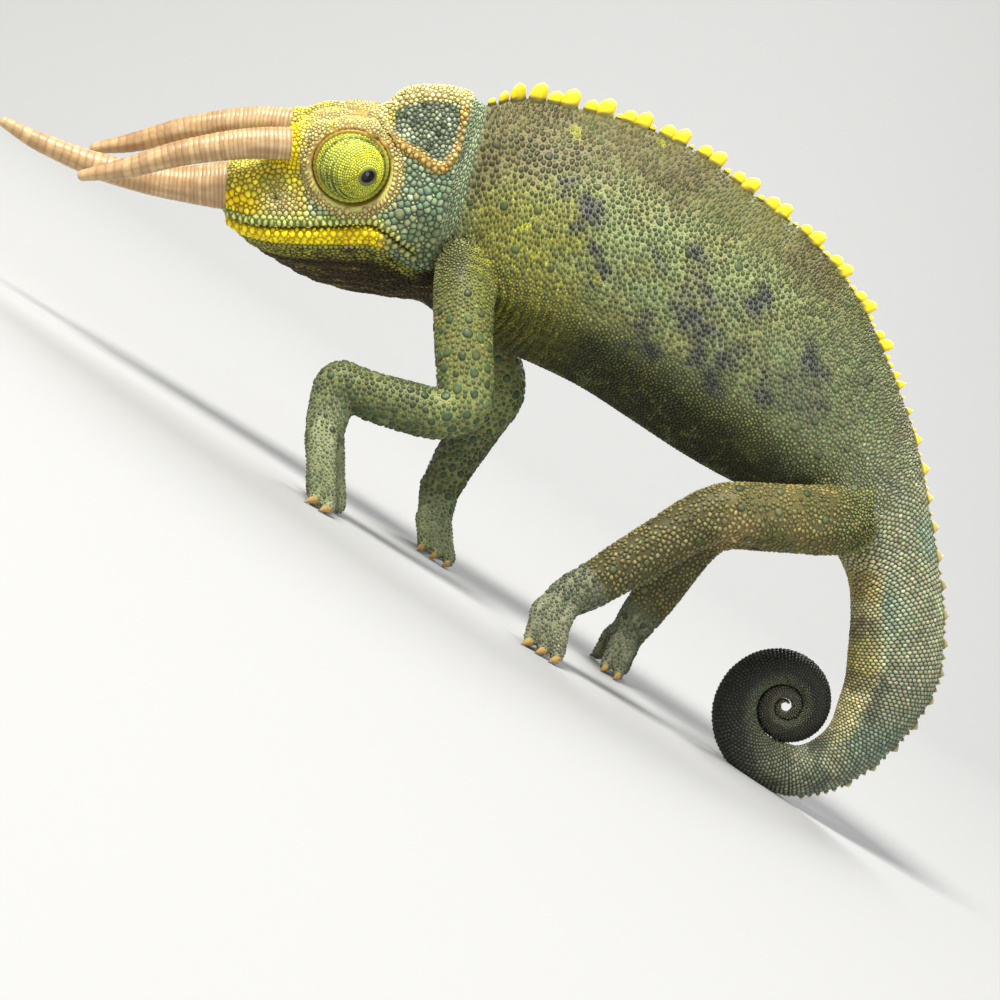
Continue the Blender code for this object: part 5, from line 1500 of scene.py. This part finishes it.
def gaze_frame(side, back, up):
    """Centre of an eye, its direction and two directions across it, in the head's axes."""
    back, up = math.radians(back), math.radians(up)
    look = np.array([math.sin(back) * math.cos(up), math.sin(up),
                     side * math.cos(back) * math.cos(up)])
    across = unit(np.cross(look, (0.0, 1.0, 0.0)))
    centre = np.array([*EYE_CENTRE[:2], side * EYE_CENTRE[2]])
    return centre, look, across, np.cross(look, across)


def spokes(turn, across, other):
    """Directions at turns round an axis, from two directions across it."""
    return np.cos(turn)[:, None] * across + np.sin(turn)[:, None] * other


def eye_colours(points, angle):
    """Lime turret with yellow and dark speckles near the pupil, and dark rings about the
    eye's direction farther out, strongest low and in front, where the turret is also
    darkened as painted shade."""
    fine, middling = cloud(points, 0.45, 31, 1), cloud(points, 2.4, 32)
    u, w = points[:, 0] - EYE_CENTRE[0], points[:, 1] - EYE_CENTRE[1]
    near = 1 - ease(angle, 0.5, 1.3)
    low = ease(-w - 0.5 * u, -3.0, 5.0)
    lines = ease(np.sin(angle * 36.0 + 2.0 * middling), 0.1, 0.8)
    ring = turret_ring(points)
    return layered(
        len(points), (0.80, 0.84, 0.34),
        (near * ease(fine, 0.40, 0.7), (0.95, 0.91, 0.14)),
        (0.4 * ease(middling, 0.5, 0.75) * (1 - near), (0.44, 0.52, 0.26)),
        (0.5 * ease(fine + 0.2 * (middling - 0.5), 0.70, 0.80), (0.17, 0.19, 0.05)),
        (lines * ease(angle, 0.55, 0.95) * (0.15 + 0.75 * low), (0.14, 0.18, 0.03)),
        # Painted shade over the turret's lower front
        (0.35 * low, (0.26, 0.31, 0.07)),
        (0.75 * (ring > 0), (0.74, 0.76, 0.24)),
        (0.85 * np.exp(-(ring / 0.14) ** 2), (0.12, 0.13, 0.03)))


def turret_ring(points):
    """Distance outwards from the groove where the turret's cone meets its base."""
    u, w = points[:, 0] - EYE_CENTRE[0] - GROOVE_SHIFT, points[:, 1] - EYE_CENTRE[1]
    return np.hypot(u, w) - GROOVE_RADIUS


def turret_dip(points):
    """Depth of that groove at each point."""
    return TURRET_DIP * np.exp(-(turret_ring(points) / GROOVE_WIDTH) ** 2)[:, None]


def turret(side, back, up):
    """The eye's cone of skin: a sphere about the eye's direction whose radius rises to
    a ring round the pupil and then turns in as a short tunnel."""
    centre, look, across, other = gaze_frame(side, back, up)
    rim = math.asin(PUPIL_RADIUS / TURRET_RADIUS)
    angle = rim + (math.pi - 0.02 - rim) * np.linspace(0, 1, EYE_ROWS) ** 1.3
    radius = TURRET_RADIUS + 0.30 * np.exp(-((angle - rim - 0.05) / 0.06) ** 2)
    tunnel = np.array([(0.84, 4.75), (0.86, 5.15), (0.90, 5.55), (0.96, 5.85)])
    out = np.concatenate([tunnel[:, 0] * PUPIL_RADIUS, radius * np.sin(angle)])
    ahead = np.concatenate([tunnel[:, 1], radius * np.cos(angle)])
    turn = turns(EYE_SIDES)
    stretch = 1 + 0.10 * np.cos(2 * turn) * np.exp(-((out - PUPIL_RADIUS) / 0.5) ** 2)[:, None]
    ring = spokes(turn, across, other)
    grid = (centre + ahead[:, None, None] * look
            + (out[:, None] * stretch)[..., None] * ring)
    whole = np.concatenate([np.zeros(len(tunnel)), angle]).repeat(EYE_SIDES)
    points = grid.reshape(-1, 3)
    points = points - turret_dip(points) * unit(points - centre)
    grid = points.reshape(grid.shape)
    # Painted shade: the turret between the granules is a darker copy of their colours
    colours = 0.40 * eye_colours(points, whole)
    colours = lay(colours, 1 - ease(whole, rim + 0.05, rim + 0.12), paint(0.40, 0.42, 0.18))
    colours = lay(colours, 1 - ease(whole, rim + 0.00, rim + 0.05), paint(0.30, 0.28, 0.28))
    return head_to_floor(grid), colours.reshape(*grid.shape)


def eye_fold(name, side):
    """Fold of skin round a turret: a ring with fine creases, pale yellow-green in front
    and below. The darker orange above and behind is painted shade under the brow, and
    the creases are darkened as painted shade."""
    turn, round_it = turns(FOLD_ROWS), turns(FOLD_SIDES)
    crease = 1 + 0.10 * np.sin(turn * 46 + 2.0 * np.sin(turn * 5))[:, None]
    out = FOLD_RADIUS + FOLD_THICK * crease * np.cos(round_it)
    lift = np.broadcast_to(FOLD_OUT + 0.8 * FOLD_THICK * np.sin(round_it), out.shape)
    grid = np.stack([EYE_CENTRE[0] + out * np.cos(turn)[:, None],
                     EYE_CENTRE[1] + out * np.sin(turn)[:, None],
                     side * (EYE_CENTRE[2] + lift)], axis=-1)
    points = grid.reshape(-1, 3)
    faces = ring_faces(FOLD_ROWS + 1, FOLD_SIDES) % len(points)
    # Painted shade above and behind, under the brow, as a darker orange
    above = ease(np.sin(turn - 0.5), -0.35, 0.35).repeat(FOLD_SIDES)
    # Painted shade in the creases, where the fold is thinner
    crease_shade = (1 - crease.repeat(FOLD_SIDES, axis=1).ravel()) / 0.10
    colours = layered(len(points), (0.74, 0.76, 0.26), (above, (0.66, 0.55, 0.20)),
                      (0.45 * crease_shade, (0.35, 0.26, 0.06)))
    return coloured_piece(name, head_to_floor(points), faces.tolist(), colours)


def turret_sites(side, back, up):
    """Granules of a turret in rings about the eye's direction, small near the pupil,
    with the angle and turn of each about that direction."""
    centre, look, across, other = gaze_frame(side, back, up)
    radius = TURRET_RADIUS - 0.02
    draw = np.random.default_rng(41 + side)
    rows, angle = [], math.asin(PUPIL_RADIUS / EYE_RADIUS) + 0.14
    while angle < 2.15:
        pitch = EYE_PITCH * (0.86 + 0.2 * ease(angle, 0.4, 1.3))
        count = max(int(2 * math.pi * radius * math.sin(angle) / (pitch * 1.12)), 8)
        turns = (np.arange(count) + draw.uniform(-0.18, 0.18, count) + draw.random()) \
            * 2 * math.pi / count
        wander = angle + draw.uniform(-0.012, 0.012, count)
        rows.append(np.column_stack([wander, turns, np.full(count, pitch)]))
        angle += pitch / radius
    angle, turn, pitch = np.vstack(rows).T
    ring = spokes(turn, across, other)
    normals = np.cos(angle)[:, None] * look + np.sin(angle)[:, None] * ring
    flow = spokes(turn + math.pi / 2, across, other)
    points = centre + radius * normals
    points = points - turret_dip(points) * normals
    floor = head_to_floor(points)
    charts = np.column_stack([np.zeros((len(turn), 5)), head_to_floor(points + flow) - floor])
    plan = np.tile([1.0, 1.12, 1.0, 0.15, 0.75, 0.0, 0.0, 0.0], (len(turn), 1))
    plan[:, 0] = pitch * 1.02
    plan[:, 3] *= draw.uniform(0.75, 1.3, len(turn))
    return Sites(floor, head_to_floor(points + normals) - floor, charts, plan), angle, turn


def turret_granules(name, side, back, up):
    """One mesh of all granules of a turret, their colours after their place, with painted
    shade at each granule's root.
    """
    sites, angle, turn = turret_sites(side, back, up)
    draw = np.random.default_rng(51 + side)
    points, spots = scale_shells(sites, cells(sites), 6, SMALL_RINGS, draw)
    tone = eye_colours(sites.home(), angle) * draw.uniform(0.85, 1.15, (len(angle), 1))
    tints = np.repeat(tone[:, None], points.shape[1], axis=1)
    # Painted shade: the ring at each granule's root is a darker copy of its colour
    tints[:, :6] *= 0.60
    reach = (angle / 5.0)[:, None]
    root = 0.5 + reach * np.column_stack([np.cos(turn), np.sin(turn)])
    uvs = root[:, None] + UV_PATCH / 2 * np.clip(spots, -1, 1)
    return shell_mesh(name, [(points, shell_faces(6, len(SMALL_RINGS)), tints, uvs,
                              np.zeros(len(angle)))])


def eyeball(name, side, back, up):
    """Dark glossy ball behind the pupil, with a narrow paler iris at its edge."""
    centre, look, across, other = gaze_frame(side, back, up)
    cavity = EYEBALL_RADIUS + 0.3
    reach = math.sqrt(EYE_RADIUS ** 2 - PUPIL_RADIUS ** 2) \
        - math.sqrt(cavity ** 2 - PUPIL_RADIUS ** 2)
    angle = np.linspace(0.02, math.pi - 0.02, BALL_SIDES)
    turn = turns(BALL_SIDES)
    ring = spokes(turn, across, other)
    grid = centre + look * reach + EYEBALL_RADIUS * (
        np.cos(angle)[:, None, None] * look + np.sin(angle)[:, None, None] * ring)
    iris = ease(angle.repeat(BALL_SIDES), 0.56, 0.64)
    colours = layered(len(iris), (0.02, 0.02, 0.03), (iris, (0.30, 0.22, 0.12)))
    return closed_piece(name, [(head_to_floor(grid), colours.reshape(*grid.shape))])


def crest_teeth():
    """Crest scales of the back and tail, each as its ladder place, height, length and
    width, drawn as in the part's source."""
    draw = random.Random(CREST_SEED)
    teeth = [(FIRST_BODY + place, *(size * x for x in CREST_LARGE)) for place, size in NAPE_SCALES]
    dense, run = back_line(FIRST_BODY + CREST_FROM, FIRST_BODY + KEEL_FROM)
    reach, count = 0.0, 0
    while reach < run[-1]:
        fade = 1.0 - CREST_FADE * (reach / run[-1]) ** 2
        large = np.array(CREST_LARGE) * fade * draw.uniform(0.92, 1.08)
        small = np.array(CREST_SMALL) * fade * draw.uniform(0.88, 1.1)
        teeth.append((np.interp(reach, run, dense), *large))
        reach += CREST_PITCH - CREST_CROWDING * 0.55 ** count
        teeth.append((np.interp(reach - PAIR_STEP * fade, run, dense), *small))
        count += 1
    dense, run = back_line(FIRST_BODY + KEEL_FROM, FIRST_BODY + KEEL_TO)
    for k, reach in enumerate(np.arange(KEEL_PITCH, run[-1], KEEL_PITCH)):
        size = draw.uniform(0.85, 1.15) * (1 - KEEL_FADE * k)
        teeth.append((np.interp(reach, run, dense), *(size * x for x in KEEL_SCALE)))
    return [(place, FULLER * height, length, width) for place, height, length, width in teeth]


def back_line(start, stop):
    """Ladder places from start to stop with their distance along the back."""
    dense = np.linspace(start, stop, 400)
    return dense, run_along(smooth(LADDER, dense)[:, :2])


def small_teeth(teeth):
    """Small scales of the back's line in the room between the large ones."""
    draw = np.random.default_rng(21)
    dense, run = back_line(FIRST_BODY + 0.3, FIRST_BODY + KEEL_TO + 1.0)
    taken = [(np.interp(place, dense, run), length) for place, _, length, _ in teeth]
    small = []
    for reach in np.arange(0.4, run[-1], TINY_PITCH):
        if all(abs(reach - middle) > 0.42 * length + 0.4 for middle, length in taken):
            size = (1.0 - 0.35 * reach / run[-1]) * draw.uniform(0.7, 1.15)
            small.append((np.interp(reach, run, dense), 0.75 * size, 1.35 * size, 1.15 * size))
    return small


def tooth_grid(place, height, length, width):
    """A crest scale: rounded rings from its sunk root to its tip, leaning back. It is
    blunt on the back and pointed on the tail."""
    pointed = ease(place, FIRST_BODY + 8.5, FIRST_BODY + 9.5)
    back, ahead = (np.array([*row[:2], 0.0]) for row in smooth(LADDER, (place, place + 0.02)))
    along = unit(ahead - back)
    up = np.array([-along[1], along[0], 0.0])
    side = np.array([0.0, 0.0, 1.0])
    turn = turns(TOOTH_SIDES)
    share = np.linspace(-0.4, 0.995, TOOTH_ROWS)
    risen = np.maximum(share, 0)
    power, blunt = (4.5, 0.6) if pointed < 0.5 else (1.1, 0.9)
    wide = (1 - risen ** power) ** blunt * (1 - 0.16 * risen)
    lean = TOOTH_LEAN * height * risen
    middle = (back + (share * height)[:, None] * up + lean[:, None] * along)
    front, aside = (np.sign(x) * np.abs(x) ** TOOTH_SQUARE for x in (np.cos(turn), np.sin(turn)))
    ring = front[:, None] * along * length * 0.50 + aside[:, None] * side * width * 0.52
    return middle[:, None] + wide[:, None, None] * ring, share


def crest_tooth(tooth):
    """One crest scale with its colours: green-brown root, yellow side and pale tip on the
    back, where the tip's paleness is a painted highlight; duller and pinker along the
    tail, whose pale tips are their own colour."""
    place = tooth[0]
    grid, share = tooth_grid(*tooth)
    yellow = 1 - ease(place, FIRST_BODY + 9.0, FIRST_BODY + 12.5)
    side = lay(paint(0.60, 0.57, 0.44)[None], np.array([yellow]), paint(0.95, 0.83, 0.08))
    # Pale tip: a painted highlight on the back's yellow scales, the scales' own pale tips along
    # the tail
    tip = lay(paint(0.86, 0.80, 0.70)[None], np.array([yellow]), paint(0.97, 0.91, 0.38))
    flat = share.repeat(TOOTH_SIDES)
    spotted = cloud(grid.reshape(-1, 3), 0.9, 61)
    colours = np.tile(paint(0.40, 0.37, 0.18), (len(flat), 1))
    colours = lay(colours, ease(flat + 0.4 * (spotted - 0.5), -0.05, 0.16), side[0])
    colours = lay(colours, ease(flat + 0.5 * (spotted - 0.5), 0.50, 0.95), tip[0])
    return head_to_floor(grid), colours.reshape(*grid.shape)


def claw_grid(root, aim):
    """A claw: rings along a curve that droops as its distance squared, tapering to a tip."""
    step = np.linspace(0, 1, 5)
    droop = np.array([-math.sin(math.radians(FLOOR_TIP)), -math.cos(math.radians(FLOOR_TIP)), 0])
    centre = root + CLAW_LENGTH * (np.outer(step - CLAW_SINK, unit(aim))
                                   + np.outer(CLAW_DROOP * step ** 2, droop))
    radius = CLAW_RADIUS * np.interp(step, (0, 0.5, 1), (1.0, 0.70, 0.10))
    grid = tube_grid(np.column_stack([centre, radius]), CLAW_ROWS, CLAW_SIDES, 0.8)
    tone = np.linspace(0, 1, CLAW_ROWS).repeat(CLAW_SIDES)
    colours = layered(len(tone), (0.66, 0.54, 0.30),
                      (ease(tone, 0.45, 1.0), (0.38, 0.27, 0.14)))
    return stand_up(grid), colours.reshape(*grid.shape)


class Value:
    """A number in a shader, so that masks read as plain arithmetic."""

    def __init__(self, looks, socket):
        self.looks, self.socket = looks, socket

    def _math(self, operation, first, second):
        node = self.looks.node("ShaderNodeMath", {"operation": operation}, {0: first, 1: second})
        return Value(self.looks, node.outputs[0])

    def __sub__(self, other):
        return self._math("SUBTRACT", self, other)

    def __mul__(self, other):
        return self._math("MULTIPLY", self, other)

    def __radd__(self, other):
        return self._math("ADD", other, self)


class Looks:
    """The node tree of one material, with one method that adds any node."""

    def __init__(self, name):
        self.material = bpy.data.materials.new(name)
        self.material.use_nodes = True
        self.tree = self.material.node_tree
        self.tree.nodes.clear()

    def node(self, kind, settings=None, inputs=None):
        """Add a node: its settings first, then the values or links of its sockets."""
        node = self.tree.nodes.new(kind)
        for key, value in (settings or {}).items():
            setattr(node, key, value)
        for key, value in (inputs or {}).items():
            socket = value.socket if isinstance(value, Value) else value
            if isinstance(socket, bpy.types.NodeSocket):
                self.tree.links.new(socket, node.inputs[key])
            else:
                node.inputs[key].default_value = socket
        return node

    def noise(self, size, detail=2.0):
        """Noise from about 0 to 1 in Object coordinates, with features of a size in metres."""
        place = self.node("ShaderNodeTexCoord").outputs["Object"]
        node = self.node("ShaderNodeTexNoise", None, {
            "Vector": place, "Scale": 1 / size, "Detail": detail})
        return Value(self, node.outputs["Fac"])

    def finish(self, colour, inputs, bump=None):
        """Join a principled shader to the output and give the material."""
        inputs = dict(inputs, **{"Base Color": colour})
        if bump:
            height, strength, depth = bump
            inputs["Normal"] = self.node("ShaderNodeBump", None, {
                "Height": height, "Strength": strength, "Distance": depth}).outputs["Normal"]
        shader = self.node("ShaderNodeBsdfPrincipled", None, inputs)
        self.node("ShaderNodeOutputMaterial", None, {"Surface": shader.outputs[0]})
        return self.material


def tinted(name, roughness, grain, size, bump, specular=0.5, coat=0.0):
    """Material that takes its colour from the mesh's tint, varied a little by noise of
    one size, with a fine grain in its surface."""
    looks = Looks(name)
    tint = looks.node("ShaderNodeAttribute", {"attribute_name": "tint"}).outputs["Color"]
    spots = looks.noise(size, 3.0)
    shade = 1 - grain + spots * (2 * grain)
    colour = looks.node("ShaderNodeVectorMath", {"operation": "SCALE"},
                        {0: tint, "Scale": shade}).outputs[0]
    gloss = looks.node("ShaderNodeAttribute", {"attribute_name": "gloss"}).outputs["Fac"]
    rough = roughness + (spots - 0.5) * 0.22 - Value(looks, gloss) * 0.24
    inputs = {"Roughness": rough, "Specular IOR Level": specular}
    if coat:
        inputs.update({"Coat Weight": coat, "Coat Roughness": 0.05})
    return looks.finish(colour, inputs, (looks.noise(size / 3, 2.0), bump, 0.0001))


def plain(name, colour, roughness):
    """Plain material of one colour."""
    return Looks(name).finish((*colour, 1.0), {"Roughness": roughness})


class ChameleonSizes(bpy.types.PropertyGroup):
    coat_depth: FloatProperty(name="Coat depth", unit="LENGTH", default=0.00025, min=0.0001,
                              description="How far the skin lies inside the solids")
    voxel: FloatProperty(name="Skin detail", unit="LENGTH", default=0.0005, min=0.0004,
                         description="Mesh size at which trunk and legs are joined")
    relief: FloatProperty(name="Scale relief", default=1.0, min=0.3, max=2.0,
                          description="Height of the scales as a share of their plan")
    stage_width: FloatProperty(name="Stage width", unit="LENGTH", default=12.0,
                               description="Width of the floor and backdrop")


class ChameleonColours(bpy.types.PropertyGroup):
    floor: FloatVectorProperty(name="Floor", subtype="COLOR", size=3, default=(0.36, 0.36, 0.355),
                               description="Colour of the floor and backdrop")
    light: FloatVectorProperty(name="Light", subtype="COLOR", size=3, default=(1.0, 0.98, 0.94),
                               description="Colour of the main light")
    key_power: FloatProperty(name="Main light", default=27.0, description="Power in watts")
    fill_power: FloatProperty(name="Fill light", default=6.5, description="Power in watts")
    rim_power: FloatProperty(name="Rim light", default=9.0, description="Power in watts")
    world_strength: FloatProperty(name="Surroundings", default=0.34,
                                  description="Strength of the light from all round")


def settle(piece, material, replaced=()):
    """Give a piece its material, body and slot, and hide the nodes it stands for."""
    piece.data.materials.clear()
    piece.data.materials.append(material)
    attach(piece, "root")
    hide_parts(*replaced)
    return piece


class MakeSkin(bpy.types.Operator):
    """One skin in the place of all nodes of flesh"""
    bl_idname = "chameleon.skin"
    bl_label = "Make skin"

    def execute(self, context):
        skin = skin_mesh(context.scene.chameleon_sizes)
        points = read_points(skin.data)
        charts = chart_points(points)
        set_tint(skin.data, markings(home_places(points, charts), charts)[1])
        write_points(skin.data, points * MM)
        skin.data.shade_smooth()
        settle(skin, tinted("skin", 0.55, 0.22, 0.0011, 0.5, 0.35), FLESH)
        return {"FINISHED"}


class MakeCoat(bpy.types.Operator):
    """All scales of the body and legs, in pieces by length of the body, side and leg"""
    bl_idname = "chameleon.coat"
    bl_label = "Make scales"

    def execute(self, context):
        if "skin" not in bpy.data.objects:
            raise RuntimeError("make the skin before the scales")
        surface = Surface(bpy.data.objects["skin"])
        sites = coat_sites(surface)
        sites.plan[:, 3] *= context.scene.chameleon_sizes.relief
        room = cells(sites)
        draw = np.random.default_rng(COAT_SEED + 1)
        material = tinted("scale", 0.45, 0.16, 0.0009, 0.35, 0.3)
        strand, along = sites.charts[:, 0], sites.charts[:, 1]
        left = sites.charts[:, 3] >= 0
        for name, first, last in COAT_LENGTHS:
            here = (strand == BODY) & (along >= first) & (along < last)
            span = (max(first, 0.0), min(last, LADDER_END))
            for side, half in (("left", left), ("right", ~left)):
                self.piece(f"coat_{name}_{side}", sites, room, here & half, span, draw, material)
        for number, name in enumerate(LEGS, FIRST_LEG):
            self.piece(f"coat_{name}", sites, room, strand == number, (0.0, 1.0), draw, material)
        return {"FINISHED"}

    def piece(self, name, sites, room, which, span, draw, material):
        """One joined mesh of the scales that a mask names."""
        blocks = coat_blocks(sites.pick(which), [rows[which] for rows in room], span, draw)
        settle(shell_mesh(name, blocks), material)


class MakeHorns(bpy.types.Operator):
    """The three ringed horns"""
    bl_idname = "chameleon.horns"
    bl_label = "Make horns"

    def execute(self, context):
        material = tinted("horn", 0.40, 0.14, 0.0014, 0.25, 0.5)
        for name, table, side in (("rostral", ROSTRAL_HORN, 1), ("left", BROW_HORN, -1),
                                  ("right", BROW_HORN, 1)):
            piece = horn("horned_" + name, table, side, 3 + len(name))
            settle(piece, material, ("horn_" + name,))
        return {"FINISHED"}


class MakeEyes(bpy.types.Operator):
    """The two turrets with their granules, and the eyeballs behind the pupils"""
    bl_idname = "chameleon.eyes"
    bl_label = "Make eyes"

    def execute(self, context):
        skin = tinted("eye_turret", 0.48, 0.14, 0.0008, 0.3, 0.4)
        glass = tinted("eyeball", 0.14, 0.05, 0.0010, 0.0, 0.3, 0.35)
        for name, (side, back, up) in GAZES.items():
            piece = closed_piece("turret_" + name, [turret(side, back, up)])
            settle(piece, skin, ("eye_" + name,))
            settle(eye_fold("eye_fold_" + name, side), skin)
            granules = turret_granules("turret_coat_" + name, side, back, up)
            settle(granules, skin)
            ball = eyeball("pupil_" + name, side, back, up)
            settle(ball, glass, ("eyeball_" + name,))
        return {"FINISHED"}


class MakeCrest(bpy.types.Operator):
    """Crest of the back and keel of the tail, with the small scales between"""
    bl_idname = "chameleon.crest"
    bl_label = "Make crest"

    def execute(self, context):
        material = tinted("crest", 0.55, 0.16, 0.0008, 0.3, 0.35)
        teeth = crest_teeth()
        for name, rows in (("crest_teeth", teeth), ("crest_small", small_teeth(teeth))):
            piece = closed_piece(name, [crest_tooth(tooth) for tooth in rows])
            settle(piece, material)
        return {"FINISHED"}


class MakeClaws(bpy.types.Operator):
    """Curved claws at the tips of all toes"""
    bl_idname = "chameleon.claws"
    bl_label = "Make claws"

    def execute(self, context):
        parts = [claw_grid(root, aim) for name, leg in LEGS.items()
                 for root, aim in toe_paths(leg, side_of(name))[1]]
        material = tinted("claw", 0.30, 0.12, 0.0007, 0.1, 0.5)
        settle(closed_piece("claws_all", parts), material)
        return {"FINISHED"}


CAMERA_SCALE = 0.175        # millimetres of the side plane in one pixel of the photograph
CAMERA_DISTANCE = 450.0     # millimetres
CAMERA_BACK = 4.0           # degrees that the camera stands above the side plane
CAMERA_AIM = (8.75, -52.15, 0.0)
IMAGE_SIZE = 1000


class MakeStage(bpy.types.Operator):
    """Pale floor that curves up behind, soft lights and the photograph's camera"""
    bl_idname = "chameleon.stage"
    bl_label = "Make stage"

    def execute(self, context):
        sizes, colours = context.scene.chameleon_sizes, context.scene.chameleon_colours
        self.backdrop(sizes.stage_width, colours.floor)
        self.camera(context)
        target = Vector(stand_up(np.array(CAMERA_AIM)) * MM)
        for name, place, size, power, colour in (
                ("key", (-0.58, -0.50, 0.92), 0.38, colours.key_power, colours.light),
                ("fill", (0.75, -0.80, 0.35), 0.80, colours.fill_power, (0.92, 0.96, 1.0)),
                ("rim", (0.10, 0.70, 0.80), 0.50, colours.rim_power, (1.0, 1.0, 1.0))):
            lamp = bpy.data.lights.new(name, "AREA")
            lamp.size, lamp.energy, lamp.color = size, power, colour
            obj = bpy.data.objects.new(name, lamp)
            obj.location = target + Vector(place)
            obj.rotation_euler = (-Vector(place)).to_track_quat("-Z", "Y").to_euler()
            context.scene.collection.objects.link(obj)
        world = bpy.data.worlds.new("pale")
        world.use_nodes = True
        shade = world.node_tree.nodes["Background"]
        shade.inputs["Color"].default_value = (0.95, 0.97, 1.0, 1.0)
        shade.inputs["Strength"].default_value = colours.world_strength
        context.scene.world = world
        context.scene.view_settings.view_transform = "Standard"
        return {"FINISHED"}

    def backdrop(self, width, colour):
        """Floor and backdrop as one sheet: flat, then a quarter circle, then upright."""
        bend, near, far, top = 0.45, -6.0, 0.55, 1.6
        turn = np.linspace(0, math.pi / 2, 24)
        y = np.concatenate([[near], far + bend * np.sin(turn), [far + bend]])
        z = np.concatenate([[0.0], bend * (1 - np.cos(turn)), [top]])
        points = np.array([(side * width / 2, *place) for place in zip(y, z) for side in (-1, 1)])
        faces = [(2 * k, 2 * k + 1, 2 * k + 3, 2 * k + 2) for k in range(len(y) - 1)]
        sheet = add_mesh("backdrop", points, faces)
        sheet.data.shade_smooth()
        sheet.data.materials.append(plain("backdrop", colour, 0.9))

    def camera(self, context):
        """Camera that looks across the side plane, turned with it by the floor's tip."""
        tip, back = math.radians(FLOOR_TIP), math.radians(CAMERA_BACK)
        right = Vector((math.cos(tip), 0.0, math.sin(tip)))
        upward = Vector((-math.sin(tip), 0.0, math.cos(tip)))
        behind = math.cos(back) * Vector((0.0, -1.0, 0.0)) + math.sin(back) * upward
        target = Vector(stand_up(np.array(CAMERA_AIM)) * MM)
        lens = bpy.data.cameras.new("camera")
        lens.sensor_fit = "HORIZONTAL"
        lens.angle = 2 * math.atan(IMAGE_SIZE / 2 * CAMERA_SCALE / CAMERA_DISTANCE)
        lens.clip_start = 0.01
        obj = bpy.data.objects.new("camera", lens)
        turned = Matrix((right, behind.cross(right), behind)).transposed()
        obj.matrix_world = Matrix.Translation(target + behind * CAMERA_DISTANCE * MM) \
            @ turned.to_4x4()
        context.scene.collection.objects.link(obj)
        context.scene.camera = obj


OPERATORS = (MakeSkin, MakeCoat, MakeHorns, MakeEyes, MakeCrest, MakeClaws, MakeStage)


class ChameleonPanel(bpy.types.Panel):
    """Lists the steps that make the chameleon, with its sizes and colours"""
    bl_idname = "VIEW3D_PT_chameleon"
    bl_label = "Chameleon"
    bl_space_type = "VIEW_3D"
    bl_region_type = "UI"
    bl_category = "Chameleon"

    def draw(self, context):
        for group in (context.scene.chameleon_sizes, context.scene.chameleon_colours):
            for name in group.__annotations__:
                self.layout.prop(group, name)
        for step in OPERATORS:
            self.layout.operator(step.bl_idname)


CLASSES = (ChameleonSizes, ChameleonColours, *OPERATORS, ChameleonPanel)


def register():
    """Register the classes and put their settings on the scene."""
    for each in CLASSES:
        bpy.utils.register_class(each)
    bpy.types.Scene.chameleon_sizes = PointerProperty(type=ChameleonSizes)
    bpy.types.Scene.chameleon_colours = PointerProperty(type=ChameleonColours)


def unregister():
    """Take the settings and classes away again."""
    del bpy.types.Scene.chameleon_colours
    del bpy.types.Scene.chameleon_sizes
    for each in reversed(CLASSES):
        bpy.utils.unregister_class(each)


def main():
    """Make every piece."""
    register()
    for step in OPERATORS:
        group, name = step.bl_idname.split(".")
        getattr(getattr(bpy.ops, group), name)()


if __name__ == "__main__":
    main()
